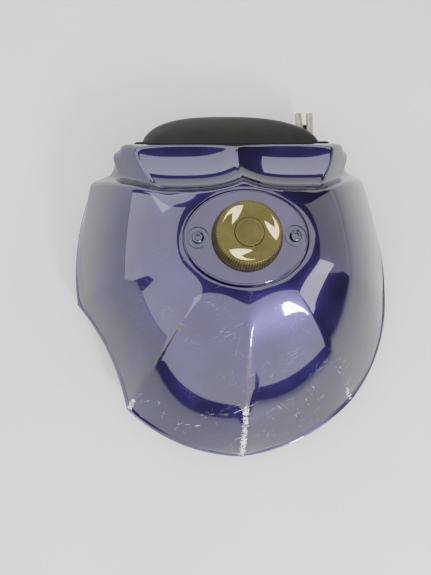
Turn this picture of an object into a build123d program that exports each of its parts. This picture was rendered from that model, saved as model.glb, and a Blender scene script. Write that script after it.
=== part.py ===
from build123d import *
import math
import os
from dataclasses import dataclass

# Pressed-steel motorcycle fuel tank with a fluted top, a bayonet filler cap,
# a black tail cover and a lever tap.  Millimetres, +Z up, nose towards -Y.
# Everything is drawn about the filler axis (x = 0, y = 0, z = 0 on the ground
# plane) and moved by FILLER_Y when it is written, which puts the origin at the
# bottom centre of the whole tank's box.

# --- sheet and seam ---------------------------------------------------------
WALL = 1.5                # steel sheet, used for both pressings
SEAM_Z = 40.0             # height of the seam between the two pressings
SEAM_LIP = 2.5            # how far the welded lip stands out
SEAM_LIP_T = 1.2          # lip thickness of each pressing
SHELL_TOP_Z = 157.0       # flat land round the filler plate

# --- seam outline, each side drawn on the right (x, y) ----------------------
NOSE_REACH = 206.0        # pointed nose, straight ahead
CHEEK_Y = -153.0
RIGHT_CHEEK_X = 123.0     # the right cheek is fuller than the left one
LEFT_CHEEK_X = 118.0
FLANK_X, FLANK_Y = 170.0, -41.0
SHOULDER_Y = 91.0
RIGHT_SHOULDER_X = 150.0
LEFT_SHOULDER_X = 155.0
NOTCH_X, NOTCH_Y = 132.0, 100.0
REAR_X = 118.0
REAR_WALL_Y = 120.0       # flat rear wall
REAR_TRIM = 1.5           # pressed past the flat wall, then trimmed flat
NOSE_BULGE = 11.5         # how far the outline bows out between two corners
RIGHT_CHEEK_BULGE = 11.0
LEFT_CHEEK_BULGE = -8.0   # hollow
FLANK_BULGE = 8.0
REAR_BULGE = 4.0

# --- filler plate -----------------------------------------------------------
PLATE_A, PLATE_B = 54.0, 42.5     # half axes of the oval plate
PLATE_GAP = 1.0                   # open line round the plate
PLATE_LAND = 2.0                  # flat land outside the open line
RECESS_DEPTH = 3.0                # recess that holds the plate, below the land
PLATE_GASKET_T = 0.8
PLATE_PROUD = 3.0                 # above the land
PLATE_EDGE_R = 1.6
SCREW_SPACING = 85.0
SCREW_R = 3.0                     # M6
SCREW_HEAD_R = 5.25
SCREW_HEAD_H = 3.3
SCREW_DOME_R = 2.3        # rounding of the button head
SCREW_SOCKET_R = 2.3              # corner radius of the 4 mm hexagon
SCREW_LENGTH = 16.0
WASHER_R = 9.0
WASHER_T = 1.2
WASHER_SINK = 1.6                 # depth of the ring recess under the washer
WASHER_GAP = 0.6
NUT_R = 5.8
NUT_T = 5.0

# --- filler neck and cap ----------------------------------------------------
NECK_R = 26.0             # outside of the neck above the plate recess
NECK_TUBE_R = 24.0        # tube below the recess floor
NECK_BORE_R = 22.5
NECK_FLANGE_R = 29.0
NECK_FLANGE_T = 1.5
NECK_PROUD = 1.0          # above the land
NECK_LIP_T = 3.5
NECK_LIP_R = 19.5
NECK_DEPTH = 30.0         # tube length below the recess floor
NECK_CLEAR = 1.0
LUG_COUNT = 3
LUG_SPAN = 44.0           # degrees covered by one lug
SLOT_SPAN = 50.0
LUG_R = 21.8
LUG_T = 2.5
LUG_GAP = 0.3
PLUG_R = 19.0
PLUG_BORE_R = 15.0
PLUG_DEPTH = 12.0         # below the top of the neck
PLUG_ROOF_H = 5.0         # above the top of the neck
PLUG_ROOF_T = 5.0
CAP_R = 31.0
CAP_TOP_R = 25.6          # circle that the arrows are drawn in
CAP_FLAT_R = 26.2         # edge of the flat top
CAP_FOOT_H = 1.5          # upright foot below the taper
CAP_SHOULDER_R = 28.2
CAP_GAP = 0.5             # between the plate and the cap
CAP_SHOULDER_H = 13.1
CAP_H = 15.5
CAP_GASKET_T = 2.0
CAP_GASKET_R = 26.0
CAP_GASKET_BORE_R = 20.3
SEAL_PLATE_T = 0.8
SEAL_PLATE_R = 27.0
SLIDE_GAP = 0.2           # between the cap and the ring that does not turn
ARROW_DEPTH = 0.6
ARROW_COUNT = 3
ARROW_FIRST = 101.0       # direction of the first arrow's tip, degrees
INSERT_SCREW_R = 2.0
INSERT_SCREW_HEAD_R = 3.6
INSERT_SCREW_HEAD_H = 2.2
INSERT_SCREW_PCD_R = 11.0
INSERT_SCREW_LENGTH = 9.0
INSERT_SCREW_FIRST = 30.0

# --- button in the cap ------------------------------------------------------
BUTTON_R = 12.2
BUTTON_GAP = 0.3
BUTTON_T = 3.2
BUTTON_PROUD = 0.8
BUTTON_TRAVEL = 2.4
STEM_R = 3.0
STEM_GAP = 0.3
STEM_REACH = 5.5          # below the inside of the plug's roof
SPRING_POCKET_R = 6.4
SPRING_FLOOR_T = 2.0      # left under the spring
SPRING_R = 5.2
SPRING_WIRE_R = 0.5
SPRING_TURNS = 4
CLIP_T = 1.0
CLIP_R = 5.5
VENT_SEAL_T = 1.0
VENT_SEAL_R = 5.0

# --- tail cover -------------------------------------------------------------
TAIL_X = 100.0            # half width where it meets the rear wall
TAIL_CORNER_X, TAIL_CORNER_REACH = 97.0, 19.0
TAIL_SHOULDER_X, TAIL_SHOULDER_REACH = 77.0, 33.0
TAIL_REACH = 43.0         # behind the rear wall, as the two before it
TAIL_CLEAR = 3.0          # above the seam
TAIL_TOP_Z = 88.0
TAIL_WALL = 2.5
TAIL_EDGE_R = 9.0
TAIL_FLANGE_X = 105.0
TAIL_FLANGE_T = 2.0
TAIL_FLANGE_TOP_Z = 91.0
STUD_X, STUD_Z = 60.0, 62.0
STUD_R = 2.5
STUD_LENGTH = 13.0
STUD_NUT_R = 4.6
STUD_NUT_T = 4.0

# --- underside --------------------------------------------------------------
TUNNEL_R = 34.0           # arch over the frame's backbone
TAB_Y = -160.0
TAB_HOLE_X = 22.0
TAB_X = 12.0              # inner end of each tab
TAB_HALF_LENGTH = 12.0
TAB_Z = 4.0
TAB_T = 3.0
GROMMET_R = 8.0
GROMMET_NECK_R = 6.5
GROMMET_LIP_T = 1.5
SLEEVE_R = 5.0
SLEEVE_BORE_R = 3.3
SLEEVE_PROUD = 0.5
BRACKET_X = 50.0
BRACKET_SHELF_X = 20.0
BRACKET_Z = 24.0
BRACKET_TOP_Z = 39.0
BRACKET_T = 3.0
BRACKET_REACH = 38.0
REAR_NUT_REACH = 22.0     # behind the rear wall
REAR_NUT_R = 7.5
REAR_NUT_T = 8.0
REAR_BOLT_R = 4.0

# --- fuel tap ---------------------------------------------------------------
TAP_X, TAP_Z = 95.0, 22.0
BOSS_R = 13.0
BOSS_DEPTH = 10.0         # inside the rear wall
BOSS_PROUD = 4.0          # outside the rear wall
TAP_GASKET_T = 1.5
TAP_FLANGE_T = 4.5
TAP_SCREW_R = 2.5
TAP_SCREW_X = 8.5
TAP_SCREW_HEAD_R = 4.2
TAP_SCREW_HEAD_H = 2.6
TAP_BODY_X = 11.0
TAP_BODY_Z = 8.0
TAP_WEB_X = 4.0           # web between the flange and the body
TAP_WEB_Z = 10.0
TAP_CORNER_R = 4.0
TAP_END_WALL = 4.0        # left at the blind end of the standpipe's channel
TAP_HEAD_TOP_Z = 38.0
TAP_HEAD_LENGTH = 17.0    # behind the tap's flange
TAP_REAR_TOP_Z = 28.0
TAP_LENGTH = 45.0         # behind the tap's flange
MAIN_PIPE_R = 3.2
MAIN_PIPE_Z = 16.0
SPIGOT_R = 4.0
SPIGOT_BORE_R = 2.8
SPIGOT_Z = 33.0
SPIGOT_SHANK_R = 3.4
SPIGOT_SHANK = 8.0
SPIGOT_GAP = 1.0          # between the tap's head and the spigot's shoulder
SPIGOT_LENGTH = 38.0
SPIGOT_SPREAD = 5.3       # half the distance between the two spigots
SPIGOT_SPLAY = 2.5        # degrees that each leans out
STRAINER_R = 6.0
STRAINER_LENGTH = 42.0
STRAINER_T = 1.0
STANDPIPE_R = 2.2
STANDPIPE_BORE_R = 1.4
STANDPIPE_Z = 28.0
STANDPIPE_TOP_Z = 62.0
STANDPIPE_RUN = 16.0
STANDPIPE_BEND = 9.0
LEVER_SETBACK = 17.0      # ahead of the tap's rear end
LEVER_Z = 19.0
LEVER_SHAFT_R = 4.0
LEVER_SHAFT_FIT = 0.05
LEVER_SHAFT_DEPTH = 9.0
LEVER_HUB_R = 8.5
LEVER_HUB_T = 6.0
LEVER_GAP = 0.6
LEVER_LENGTH = 17.5
LEVER_HALF_WIDTH = 4.0
LEVER_T = 4.0
LEVER_END_R = 3.6
LEVER_SCREW_R = 1.5
LEVER_SCREW_HEAD_R = 3.0
LEVER_SCREW_HEAD_H = 1.8
LEVER_SCREW_LENGTH = 9.0

# --- places that follow from the sizes above --------------------------------
RECESS_Z = SHELL_TOP_Z - RECESS_DEPTH
FLOOR_Z = RECESS_Z - WALL
RECESS_A = PLATE_A + PLATE_GAP
RECESS_B = PLATE_B + PLATE_GAP
LAND_A = RECESS_A + PLATE_LAND
LAND_B = RECESS_B + PLATE_LAND
PLATE_BOTTOM_Z = RECESS_Z + PLATE_GASKET_T
PLATE_TOP_Z = SHELL_TOP_Z + PLATE_PROUD
WASHER_Z = PLATE_TOP_Z - WASHER_SINK
SCREW_PLACES = (-SCREW_SPACING / 2, SCREW_SPACING / 2)
STUD_PLACES = (-STUD_X, STUD_X)
NECK_TOP_Z = SHELL_TOP_Z + NECK_PROUD
LIP_UNDER_Z = NECK_TOP_Z - NECK_LIP_T
LUG_TOP_Z = LIP_UNDER_Z - LUG_GAP
PLUG_BOTTOM_Z = NECK_TOP_Z - PLUG_DEPTH
PLUG_ROOF_Z = NECK_TOP_Z + PLUG_ROOF_H
PLUG_TOP_Z = PLUG_ROOF_Z + PLUG_ROOF_T
SEAL_PLATE_Z = NECK_TOP_Z + CAP_GASKET_T
CAP_BOTTOM_Z = PLATE_TOP_Z + CAP_GAP
CAP_SHOULDER_Z = CAP_BOTTOM_Z + CAP_SHOULDER_H
CAP_TOP_Z = CAP_BOTTOM_Z + CAP_H
CAP_CEILING_Z = SEAL_PLATE_Z + SEAL_PLATE_T + SLIDE_GAP
BUTTON_TOP_Z = CAP_TOP_Z + BUTTON_PROUD
BUTTON_UNDER_Z = BUTTON_TOP_Z - BUTTON_T
BUTTON_FLOOR_Z = BUTTON_UNDER_Z - BUTTON_TRAVEL - BUTTON_GAP
STEM_BOTTOM_Z = PLUG_ROOF_Z - STEM_REACH
SPRING_POCKET_Z = PLUG_ROOF_Z + SPRING_FLOOR_T
INSERT_SCREW_TOP_Z = PLUG_ROOF_Z + INSERT_SCREW_LENGTH - INSERT_SCREW_HEAD_H
TAIL_BOTTOM_Z = SEAM_Z + TAIL_CLEAR
REAR_NUT_Y = REAR_WALL_Y + REAR_NUT_REACH
BOSS_INNER_Y = REAR_WALL_Y - BOSS_DEPTH
BOSS_OUTER_Y = REAR_WALL_Y + BOSS_PROUD
TAP_FLANGE_Y = BOSS_OUTER_Y + TAP_GASKET_T
TAP_FLANGE_END_Y = TAP_FLANGE_Y + TAP_FLANGE_T
TAP_HEAD_END_Y = TAP_FLANGE_END_Y + TAP_HEAD_LENGTH
TAP_END_Y = TAP_FLANGE_END_Y + TAP_LENGTH
SPIGOT_START_Y = TAP_HEAD_END_Y + SPIGOT_GAP
SPIGOT_END_Y = SPIGOT_START_Y + SPIGOT_LENGTH
LEVER_Y = TAP_END_Y - LEVER_SETBACK
LEVER_FACE_X = TAP_X - TAP_BODY_X
FILLER_Y = (NOSE_REACH + SEAM_LIP - SPIGOT_END_Y) / 2
OVER = 1.0                # how far a cutting tool runs past a face
FAR = 400.0               # longer than the tank

os.makedirs("parts", exist_ok=True)


# --- small helpers ----------------------------------------------------------
def write(name, *solids):
    """Move the solids to the tank's frame and write them as one node."""
    placed = [Pos(0, FILLER_Y, 0) * solid for shape in solids for solid in shape.solids()]
    export_step(Compound(placed), f"parts/{name}.step")


def post(radius, bottom, top, x=0.0, y=0.0):
    """Upright round bar from bottom to top."""
    bar = Cylinder(radius, top - bottom, align=(Align.CENTER, Align.CENTER, Align.MIN))
    return Pos(x, y, bottom) * bar


def hexagon(radius, bottom, top, x=0.0, y=0.0):
    """Upright six-sided bar, radius to the corners."""
    return Pos(x, y, bottom) * extrude(RegularPolygon(radius, 6), top - bottom)


def block(x0, x1, y0, y1, z0, z1):
    """Box between two corners."""
    box = Box(x1 - x0, y1 - y0, z1 - z0, align=(Align.MIN, Align.MIN, Align.MIN))
    return Pos(x0, y0, z0) * box


def bar_y(radius, start, end, x, z):
    """Round bar along Y."""
    bar = Cylinder(radius, end - start, align=(Align.CENTER, Align.CENTER, Align.MIN))
    return Pos(x, start, z) * Rot(-90, 0, 0) * bar


def bar_x(radius, start, end, y, z):
    """Round bar along X."""
    bar = Cylinder(radius, end - start, align=(Align.CENTER, Align.CENTER, Align.MIN))
    return Pos(start, y, z) * Rot(0, 90, 0) * bar


def oval(a, b, bottom, top):
    """Upright oval bar."""
    return Pos(0, 0, bottom) * extrude(Ellipse(a, b), top - bottom)


def around(count, shape, first=0.0):
    """The same shape, count times round the filler axis."""
    return [Rot(0, 0, first + 360 * turn / count) * shape for turn in range(count)]


def both_sides(shape):
    """A shape and its mirror image in the tank's middle plane."""
    return [shape, mirror(shape, Plane.YZ)]


def sector(radius, bottom, top, span, middle):
    """Upright pie slice, span degrees wide, centred on the middle direction."""
    start = math.radians(middle - span / 2)
    end = math.radians(middle + span / 2)
    a = (radius * math.cos(start), radius * math.sin(start))
    b = (radius * math.cos(end), radius * math.sin(end))
    face = make_face(Line((0, 0), a) + RadiusArc(a, b, -radius) + Line(b, (0, 0)))
    return Pos(0, 0, bottom) * extrude(face, top - bottom)


# --- the pressed surface ----------------------------------------------------
@dataclass
class Meridian:
    """One line down the pressing, from the plate's land to the seam.

    angle: where it leaves the oval land, in degrees
    seam: where it meets the seam, (x, y)
    foot: height below which it runs straight down
    bend: 1 is a straight slope, and larger is fuller
    crown: 1 is level where it leaves the land, and larger is flatter for longer
    """

    angle: float
    seam: tuple
    foot: float
    bend: float
    crown: float = 1.0

    def at(self, z, share=1.0):
        """The point of this line at height z."""
        rise = min(max((z - self.foot) / (SHELL_TOP_Z - self.foot), 0.0), 1.0)
        reach = share * (1 - rise ** self.crown) ** (1 / self.bend)
        top_x = LAND_A * math.cos(math.radians(self.angle))
        top_y = LAND_B * math.sin(math.radians(self.angle))
        x = top_x + (self.seam[0] - top_x) * reach
        y = top_y + (self.seam[1] - top_y) * reach
        return (x, y)


def bowed(a, b, bulge):
    """Middle of the chord from a to b, moved out by the bulge."""
    dx, dy = b[0] - a[0], b[1] - a[1]
    length = math.hypot(dx, dy)
    return ((a[0] + b[0]) / 2 + dy / length * bulge, (a[1] + b[1]) / 2 - dx / length * bulge)


NOSE = (0.0, -NOSE_REACH)
FLANK = (FLANK_X, FLANK_Y)
NOTCH = (NOTCH_X, NOTCH_Y)
REAR = (REAR_X, REAR_WALL_Y + REAR_TRIM)
REAR_MIDDLE = (0.0, REAR_WALL_Y + REAR_TRIM)



def side_lines(cheek_x, cheek_bulge, shoulder_x):
    """The lines of one side, drawn on the right, from the nose round to the rear."""
    cheek = (cheek_x, CHEEK_Y)
    shoulder = (shoulder_x, SHOULDER_Y)
    return [
        Meridian(-72, bowed(NOSE, cheek, NOSE_BULGE), 42, 1.36),
        Meridian(-54, cheek, 40, 1.60),
        Meridian(-40, bowed(cheek, FLANK, cheek_bulge), 42, 1.55),
        Meridian(-26, FLANK, 42, 1.85),
        Meridian(5, bowed(FLANK, shoulder, FLANK_BULGE), 46, 1.75),
        Meridian(36, shoulder, 58, 1.75),
        Meridian(45, NOTCH, 58, 1.35),
        Meridian(53, bowed(NOTCH, REAR, REAR_BULGE), 76, 1.40),
        Meridian(62, REAR, 88, 1.50, 1.15),
    ]


def mirrored(line):
    """The same line on the left."""
    return Meridian(180 - line.angle, (-line.seam[0], line.seam[1]), line.foot, line.bend, line.crown)


NOSE_LINE = Meridian(-90, NOSE, 46, 1.45, 1.25)
REAR_LINE = Meridian(90, REAR_MIDDLE, 88, 1.50, 1.15)
RIGHT_LINES = side_lines(RIGHT_CHEEK_X, RIGHT_CHEEK_BULGE, RIGHT_SHOULDER_X)
LEFT_SIDE = side_lines(LEFT_CHEEK_X, LEFT_CHEEK_BULGE, LEFT_SHOULDER_X)
LEFT_LINES = [mirrored(line) for line in reversed(LEFT_SIDE)]
MERIDIANS = [NOSE_LINE] + RIGHT_LINES + [REAR_LINE] + LEFT_LINES
# The outline's pieces, as the meridians that each one passes through.
SPANS = [(0, 1, 2), (2, 3, 4), (4, 5, 6), (6, 7), (7, 8, 9), (9, 10, 11)]
SPANS += [(11, 12, 13), (13, 14), (14, 15, 16), (16, 17, 18), (18, 19, 0)]
LEVEL_SHARES = (0.10, 0.22, 0.325, 0.41, 0.51, 0.63, 0.75, 0.845, 0.915, 0.965, 1.0)
SHELL_LEVELS = [SEAM_Z + (SHELL_TOP_Z - SEAM_Z) * share for share in LEVEL_SHARES]
PAN_LEVELS = [(26.0, 0.985), (12.0, 0.955), (4.0, 0.91), (0.0, 0.85)]


def outline(points, z):
    """Closed face through the meridian points of one height."""
    edges = []
    for span in SPANS:
        stops = [(*points[index], z) for index in span]
        edges.append(Line(*stops) if len(stops) == 2 else Spline(*stops))
    return Face(Wire(edges))


def moved(points, distance):
    """The outline's points moved outwards, square to the outline."""
    result = []
    for index, (x, y) in enumerate(points):
        before, after = points[index - 1], points[(index + 1) % len(points)]
        n1 = outward(before, (x, y))
        n2 = outward((x, y), after)
        scale = distance / (1 + n1[0] * n2[0] + n1[1] * n2[1])
        result.append((x + (n1[0] + n2[0]) * scale, y + (n1[1] + n2[1]) * scale))
    return result


def outward(a, b):
    """Unit normal on the outer side of the step from a to b."""
    dx, dy = b[0] - a[0], b[1] - a[1]
    length = math.hypot(dx, dy)
    return (dy / length, -dx / length)


def level(z, share=1.0, offset=0.0, lift=0.0):
    """Outline of the pressing at z, moved out by offset and drawn at z + lift."""
    points = [line.at(z, share) for line in MERIDIANS]
    return outline(moved(points, offset), z + lift)


def behind_wall(y):
    """Everything behind the flat rear wall."""
    return block(-FAR, FAR, y, y + FAR, -FAR, FAR)


def shell_volume():
    """Solid volume under the top pressing."""
    return loft([level(SEAM_Z)] + [level(z) for z in SHELL_LEVELS]) - behind_wall(REAR_WALL_Y)


def shell_cavity():
    """Space inside the top pressing."""
    lowest = level(SEAM_Z, offset=-WALL, lift=-OVER)
    rest = [level(z, offset=-WALL, lift=-WALL) for z in SHELL_LEVELS]
    return loft([lowest] + rest) - behind_wall(REAR_WALL_Y - WALL)


def pan_volume():
    """Solid volume of the lower pressing, before the tunnel."""
    body = loft([level(SEAM_Z)] + [level(SEAM_Z, share, lift=z - SEAM_Z) for z, share in PAN_LEVELS])
    return body - behind_wall(REAR_WALL_Y)


def pan_cavity():
    """Space inside the lower pressing, before the tunnel."""
    highest = level(SEAM_Z, offset=-WALL, lift=OVER)
    rest = [
        level(SEAM_Z, share, offset=-WALL, lift=z + WALL - SEAM_Z)
        for z, share in PAN_LEVELS
    ]
    return loft([highest] + rest) - behind_wall(REAR_WALL_Y - WALL)


def seam_lip(bottom, top):
    """Flat welded lip round the seam."""
    height = top - bottom
    outer = extrude(level(SEAM_Z, offset=SEAM_LIP, lift=bottom - SEAM_Z), height)
    inner = extrude(level(SEAM_Z, offset=-WALL / 2, lift=bottom - SEAM_Z - OVER), height + 2 * OVER)
    return outer - inner


def tunnel(radius):
    """Round arch along the tank."""
    return bar_y(radius, -FAR, FAR, 0, 0)


# --- scoops in the rear of the top ------------------------------------------
SCOOP_X, SCOOP_Y = 53.0, 76.0
SCOOP_Z = SHELL_TOP_Z - 30.0
SCOOP_HALF_WIDTH = 50.0
SCOOP_HALF_LENGTH = 35.0
SCOOP_DEPTH = 11.0
SCOOP_TILT = 40.0         # slope of the surface that it is pressed into


def scoop(side, growth=0.0):
    """Long rounded hollow, an ellipse turned about the X direction."""
    radius = (SCOOP_HALF_LENGTH ** 2 + SCOOP_DEPTH ** 2) / (2 * SCOOP_DEPTH)
    lift = radius - SCOOP_DEPTH
    half = SCOOP_HALF_WIDTH / math.sqrt(1 - (lift / radius) ** 2)
    profile = Ellipse(half + growth, radius + growth)
    body = revolve(profile & Pos(0, FAR / 2) * Rectangle(FAR, FAR), Axis.X)
    tilt = math.radians(SCOOP_TILT)
    centre = (side * SCOOP_X, SCOOP_Y + lift * math.sin(tilt), SCOOP_Z + lift * math.cos(tilt))
    return Pos(*centre) * body


# --- top pressing -----------------------------------------------------------
def upper_shell():
    outer = shell_volume() - scoop(1) - scoop(-1)
    cavity = shell_cavity() - scoop(1, WALL) - scoop(-1, WALL)
    cavity -= oval(LAND_A + WALL, LAND_B + WALL, FLOOR_Z, FLOOR_Z + FAR)
    shell = outer - cavity + seam_lip(SEAM_Z, SEAM_Z + SEAM_LIP_T)
    shell -= behind_wall(REAR_WALL_Y)
    shell -= oval(RECESS_A, RECESS_B, RECESS_Z, RECESS_Z + FAR)
    shell -= post(NECK_TUBE_R, FLOOR_Z - OVER, RECESS_Z + OVER)
    for x in SCREW_PLACES:
        shell -= post(SCREW_R, FLOOR_Z - OVER, RECESS_Z + OVER, x)
    return shell


# --- lower pressing ---------------------------------------------------------
def base_pan():
    pan = pan_volume() - tunnel(TUNNEL_R)
    pan -= pan_cavity() - tunnel(TUNNEL_R + WALL)
    pan += seam_lip(SEAM_Z - SEAM_LIP_T, SEAM_Z) - behind_wall(REAR_WALL_Y)
    pan -= bar_y(BOSS_R, BOSS_INNER_Y, BOSS_OUTER_Y, TAP_X, TAP_Z)
    return pan


write("upper_shell", upper_shell())
write("base_pan", base_pan())


# --- filler neck, plate and their fixings -----------------------------------
def filler_neck():
    neck = post(NECK_R, RECESS_Z, NECK_TOP_Z)
    neck += post(NECK_FLANGE_R, RECESS_Z, RECESS_Z + NECK_FLANGE_T)
    neck += post(NECK_TUBE_R, RECESS_Z - NECK_DEPTH, RECESS_Z)
    neck -= post(NECK_BORE_R, RECESS_Z - NECK_DEPTH - OVER, LIP_UNDER_Z)
    neck -= post(NECK_LIP_R, LIP_UNDER_Z - OVER, NECK_TOP_Z + OVER)
    for turn in range(LUG_COUNT):
        middle = 90 + 360 * turn / LUG_COUNT
        neck -= sector(NECK_BORE_R, LIP_UNDER_Z - OVER, NECK_TOP_Z + OVER, SLOT_SPAN, middle)
    return neck


def filler_plate():
    plate = oval(PLATE_A, PLATE_B, PLATE_BOTTOM_Z, PLATE_TOP_Z)
    plate = fillet(plate.edges().group_by(Axis.Z)[-1], PLATE_EDGE_R)
    plate -= post(NECK_R + NECK_CLEAR, PLATE_BOTTOM_Z - OVER, PLATE_TOP_Z + OVER)
    pocket_z = RECESS_Z + NECK_FLANGE_T + NECK_CLEAR
    plate -= post(NECK_FLANGE_R + NECK_CLEAR, PLATE_BOTTOM_Z - OVER, pocket_z)
    for x in SCREW_PLACES:
        plate -= post(SCREW_R, PLATE_BOTTOM_Z - OVER, PLATE_TOP_Z, x)
        plate -= post(WASHER_R + WASHER_GAP, WASHER_Z, PLATE_TOP_Z + OVER, x)
    return plate


def plate_gasket():
    gasket = oval(PLATE_A - PLATE_GAP, PLATE_B - PLATE_GAP, RECESS_Z, PLATE_BOTTOM_Z)
    gasket -= post(NECK_FLANGE_R + NECK_CLEAR, RECESS_Z - OVER, PLATE_BOTTOM_Z + OVER)
    for x in SCREW_PLACES:
        gasket -= post(SCREW_R, RECESS_Z - OVER, PLATE_BOTTOM_Z + OVER, x)
    return gasket


def plate_screw(x):
    seat = WASHER_Z + WASHER_T
    head = post(SCREW_HEAD_R, seat, seat + SCREW_HEAD_H, x)
    head = fillet(head.edges().group_by(Axis.Z)[-1], SCREW_DOME_R)
    head -= hexagon(SCREW_SOCKET_R, seat + SCREW_HEAD_H / 2, seat + SCREW_HEAD_H + OVER, x)
    return head + post(SCREW_R, seat - SCREW_LENGTH, seat, x)


def plate_washer(x):
    washer = post(WASHER_R, WASHER_Z, WASHER_Z + WASHER_T, x)
    return washer - post(SCREW_R, WASHER_Z - OVER, PLATE_TOP_Z, x)


def weld_nut(x):
    nut = hexagon(NUT_R, FLOOR_Z - NUT_T, FLOOR_Z, x)
    return nut - post(SCREW_R, FLOOR_Z - NUT_T - OVER, FLOOR_Z + OVER, x)


write("filler_neck", filler_neck())
write("filler_plate", filler_plate())
write("plate_gasket", plate_gasket())
write("plate_screws", *[plate_screw(x) for x in SCREW_PLACES])
write("plate_washers", *[plate_washer(x) for x in SCREW_PLACES])
write("weld_nuts", *[weld_nut(x) for x in SCREW_PLACES])


# --- filler cap -------------------------------------------------------------
def insert_screw_holes(bottom, top):
    return around(LUG_COUNT, post(INSERT_SCREW_R, bottom, top, INSERT_SCREW_PCD_R), INSERT_SCREW_FIRST)


def polar(share, angle):
    """Point on the cap's top, by its share of the arrows' circle and its angle from the first tip."""
    turn = math.radians(ARROW_FIRST + angle)
    return (CAP_TOP_R * share * math.cos(turn), CAP_TOP_R * share * math.sin(turn))


def arrow_face():
    """Arrow head pointing clockwise round the cap's top."""
    tip, outer, notch, inner = polar(0.90, 0), polar(0.92, 58), polar(0.84, 27), polar(0.62, 55)
    back = Spline(outer, polar(0.90, 42), notch) + Spline(notch, polar(0.70, 42), inner)
    side = Spline(inner, polar(0.60, 34), polar(0.68, 14), tip) + Spline(tip, polar(0.95, 26), outer)
    return make_face(back + side)


def arrow(growth=0.0):
    bottom = CAP_TOP_Z - ARROW_DEPTH
    return Pos(0, 0, bottom) * extrude(arrow_face(), ARROW_DEPTH + growth)


def cap_body():
    profile = Polyline(
        (0, CAP_BOTTOM_Z), (CAP_R, CAP_BOTTOM_Z), (CAP_R, CAP_BOTTOM_Z + CAP_FOOT_H),
        (CAP_SHOULDER_R, CAP_SHOULDER_Z), (CAP_FLAT_R, CAP_TOP_Z), (0, CAP_TOP_Z), (0, CAP_BOTTOM_Z),
    )
    body = revolve(Plane.XZ * make_face(profile), Axis.Z)
    body -= post(SEAL_PLATE_R + SLIDE_GAP, CAP_BOTTOM_Z - OVER, CAP_CEILING_Z)
    body -= post(PLUG_R, CAP_BOTTOM_Z, PLUG_TOP_Z)
    body -= post(BUTTON_R + BUTTON_GAP, BUTTON_FLOOR_Z, CAP_TOP_Z + OVER)
    body -= post(SPRING_POCKET_R, PLUG_TOP_Z - OVER, CAP_TOP_Z + OVER)
    for hole in insert_screw_holes(PLUG_TOP_Z - OVER, INSERT_SCREW_TOP_Z):
        body -= hole
    for turned in around(ARROW_COUNT, arrow(OVER)):
        body -= turned
    return body


def cap_insert():
    insert = post(PLUG_R, PLUG_BOTTOM_Z, PLUG_TOP_Z)
    for turn in range(LUG_COUNT):
        middle = 90 + 360 * turn / LUG_COUNT
        insert += sector(LUG_R, LUG_TOP_Z - LUG_T, LUG_TOP_Z, LUG_SPAN, middle)
    insert -= post(PLUG_BORE_R, PLUG_BOTTOM_Z - OVER, PLUG_ROOF_Z)
    insert -= post(STEM_R + STEM_GAP, PLUG_ROOF_Z - OVER, PLUG_TOP_Z + OVER)
    insert -= post(SPRING_POCKET_R, SPRING_POCKET_Z, PLUG_TOP_Z + OVER)
    for hole in insert_screw_holes(PLUG_ROOF_Z - OVER, PLUG_TOP_Z + OVER):
        insert -= hole
    return insert


def insert_screws():
    under = PLUG_ROOF_Z - INSERT_SCREW_HEAD_H
    screw = post(INSERT_SCREW_HEAD_R, under, PLUG_ROOF_Z, INSERT_SCREW_PCD_R)
    screw += post(INSERT_SCREW_R, PLUG_ROOF_Z, INSERT_SCREW_TOP_Z, INSERT_SCREW_PCD_R)
    return around(LUG_COUNT, screw, INSERT_SCREW_FIRST)


def cap_gasket():
    ring = post(CAP_GASKET_R, NECK_TOP_Z, SEAL_PLATE_Z)
    return ring - post(CAP_GASKET_BORE_R, NECK_TOP_Z - OVER, SEAL_PLATE_Z + OVER)


def seal_plate():
    top = SEAL_PLATE_Z + SEAL_PLATE_T
    plate = post(SEAL_PLATE_R, SEAL_PLATE_Z, top)
    return plate - post(CAP_GASKET_BORE_R, SEAL_PLATE_Z - OVER, top + OVER)


def cap_button():
    button = post(BUTTON_R, BUTTON_UNDER_Z, BUTTON_TOP_Z)
    button = fillet(button.edges().group_by(Axis.Z)[-1], BUTTON_PROUD / 2)
    return button + post(STEM_R, STEM_BOTTOM_Z, BUTTON_UNDER_Z)


def button_spring():
    height = BUTTON_UNDER_Z - SPRING_POCKET_Z - 2 * SPRING_WIRE_R
    path = Helix(height / SPRING_TURNS, height, SPRING_R - SPRING_WIRE_R)
    section = Plane(origin=path @ 0, z_dir=path % 0) * Circle(SPRING_WIRE_R)
    return Pos(0, 0, SPRING_POCKET_Z + SPRING_WIRE_R) * sweep(section, path)


def stem_ring(radius, top, thickness):
    ring = post(radius, top - thickness, top)
    return ring - post(STEM_R, top - thickness - OVER, top + OVER)


write("cap_body", cap_body())
write("cap_arrows", *around(ARROW_COUNT, arrow()))
write("cap_insert", cap_insert())
write("insert_screws", *insert_screws())
write("cap_gasket", cap_gasket())
write("seal_plate", seal_plate())
write("cap_button", cap_button())
write("button_spring", button_spring())
write("vent_seal", stem_ring(VENT_SEAL_R, PLUG_ROOF_Z, VENT_SEAL_T))
write("button_clip", stem_ring(CLIP_R, PLUG_ROOF_Z - VENT_SEAL_T, CLIP_T))


# --- tail cover -------------------------------------------------------------
def tail_outline(inset):
    """Plan of the tail cover, with the rear wall at y = 0."""
    start = (TAIL_X - inset, 0)
    corner = (TAIL_CORNER_X - inset, TAIL_CORNER_REACH - inset / 2)
    bend = (TAIL_SHOULDER_X - inset / 2, TAIL_SHOULDER_REACH - inset)
    reach = (0, TAIL_REACH - inset)
    right = [start, corner, bend]
    left = [(-x, y) for x, y in reversed(right)]
    edges = Line(start, corner) + Spline(corner, bend, reach, left[0], left[1])
    edges += Line(left[1], left[2]) + Line(left[2], start)
    return make_face(edges)


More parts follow.
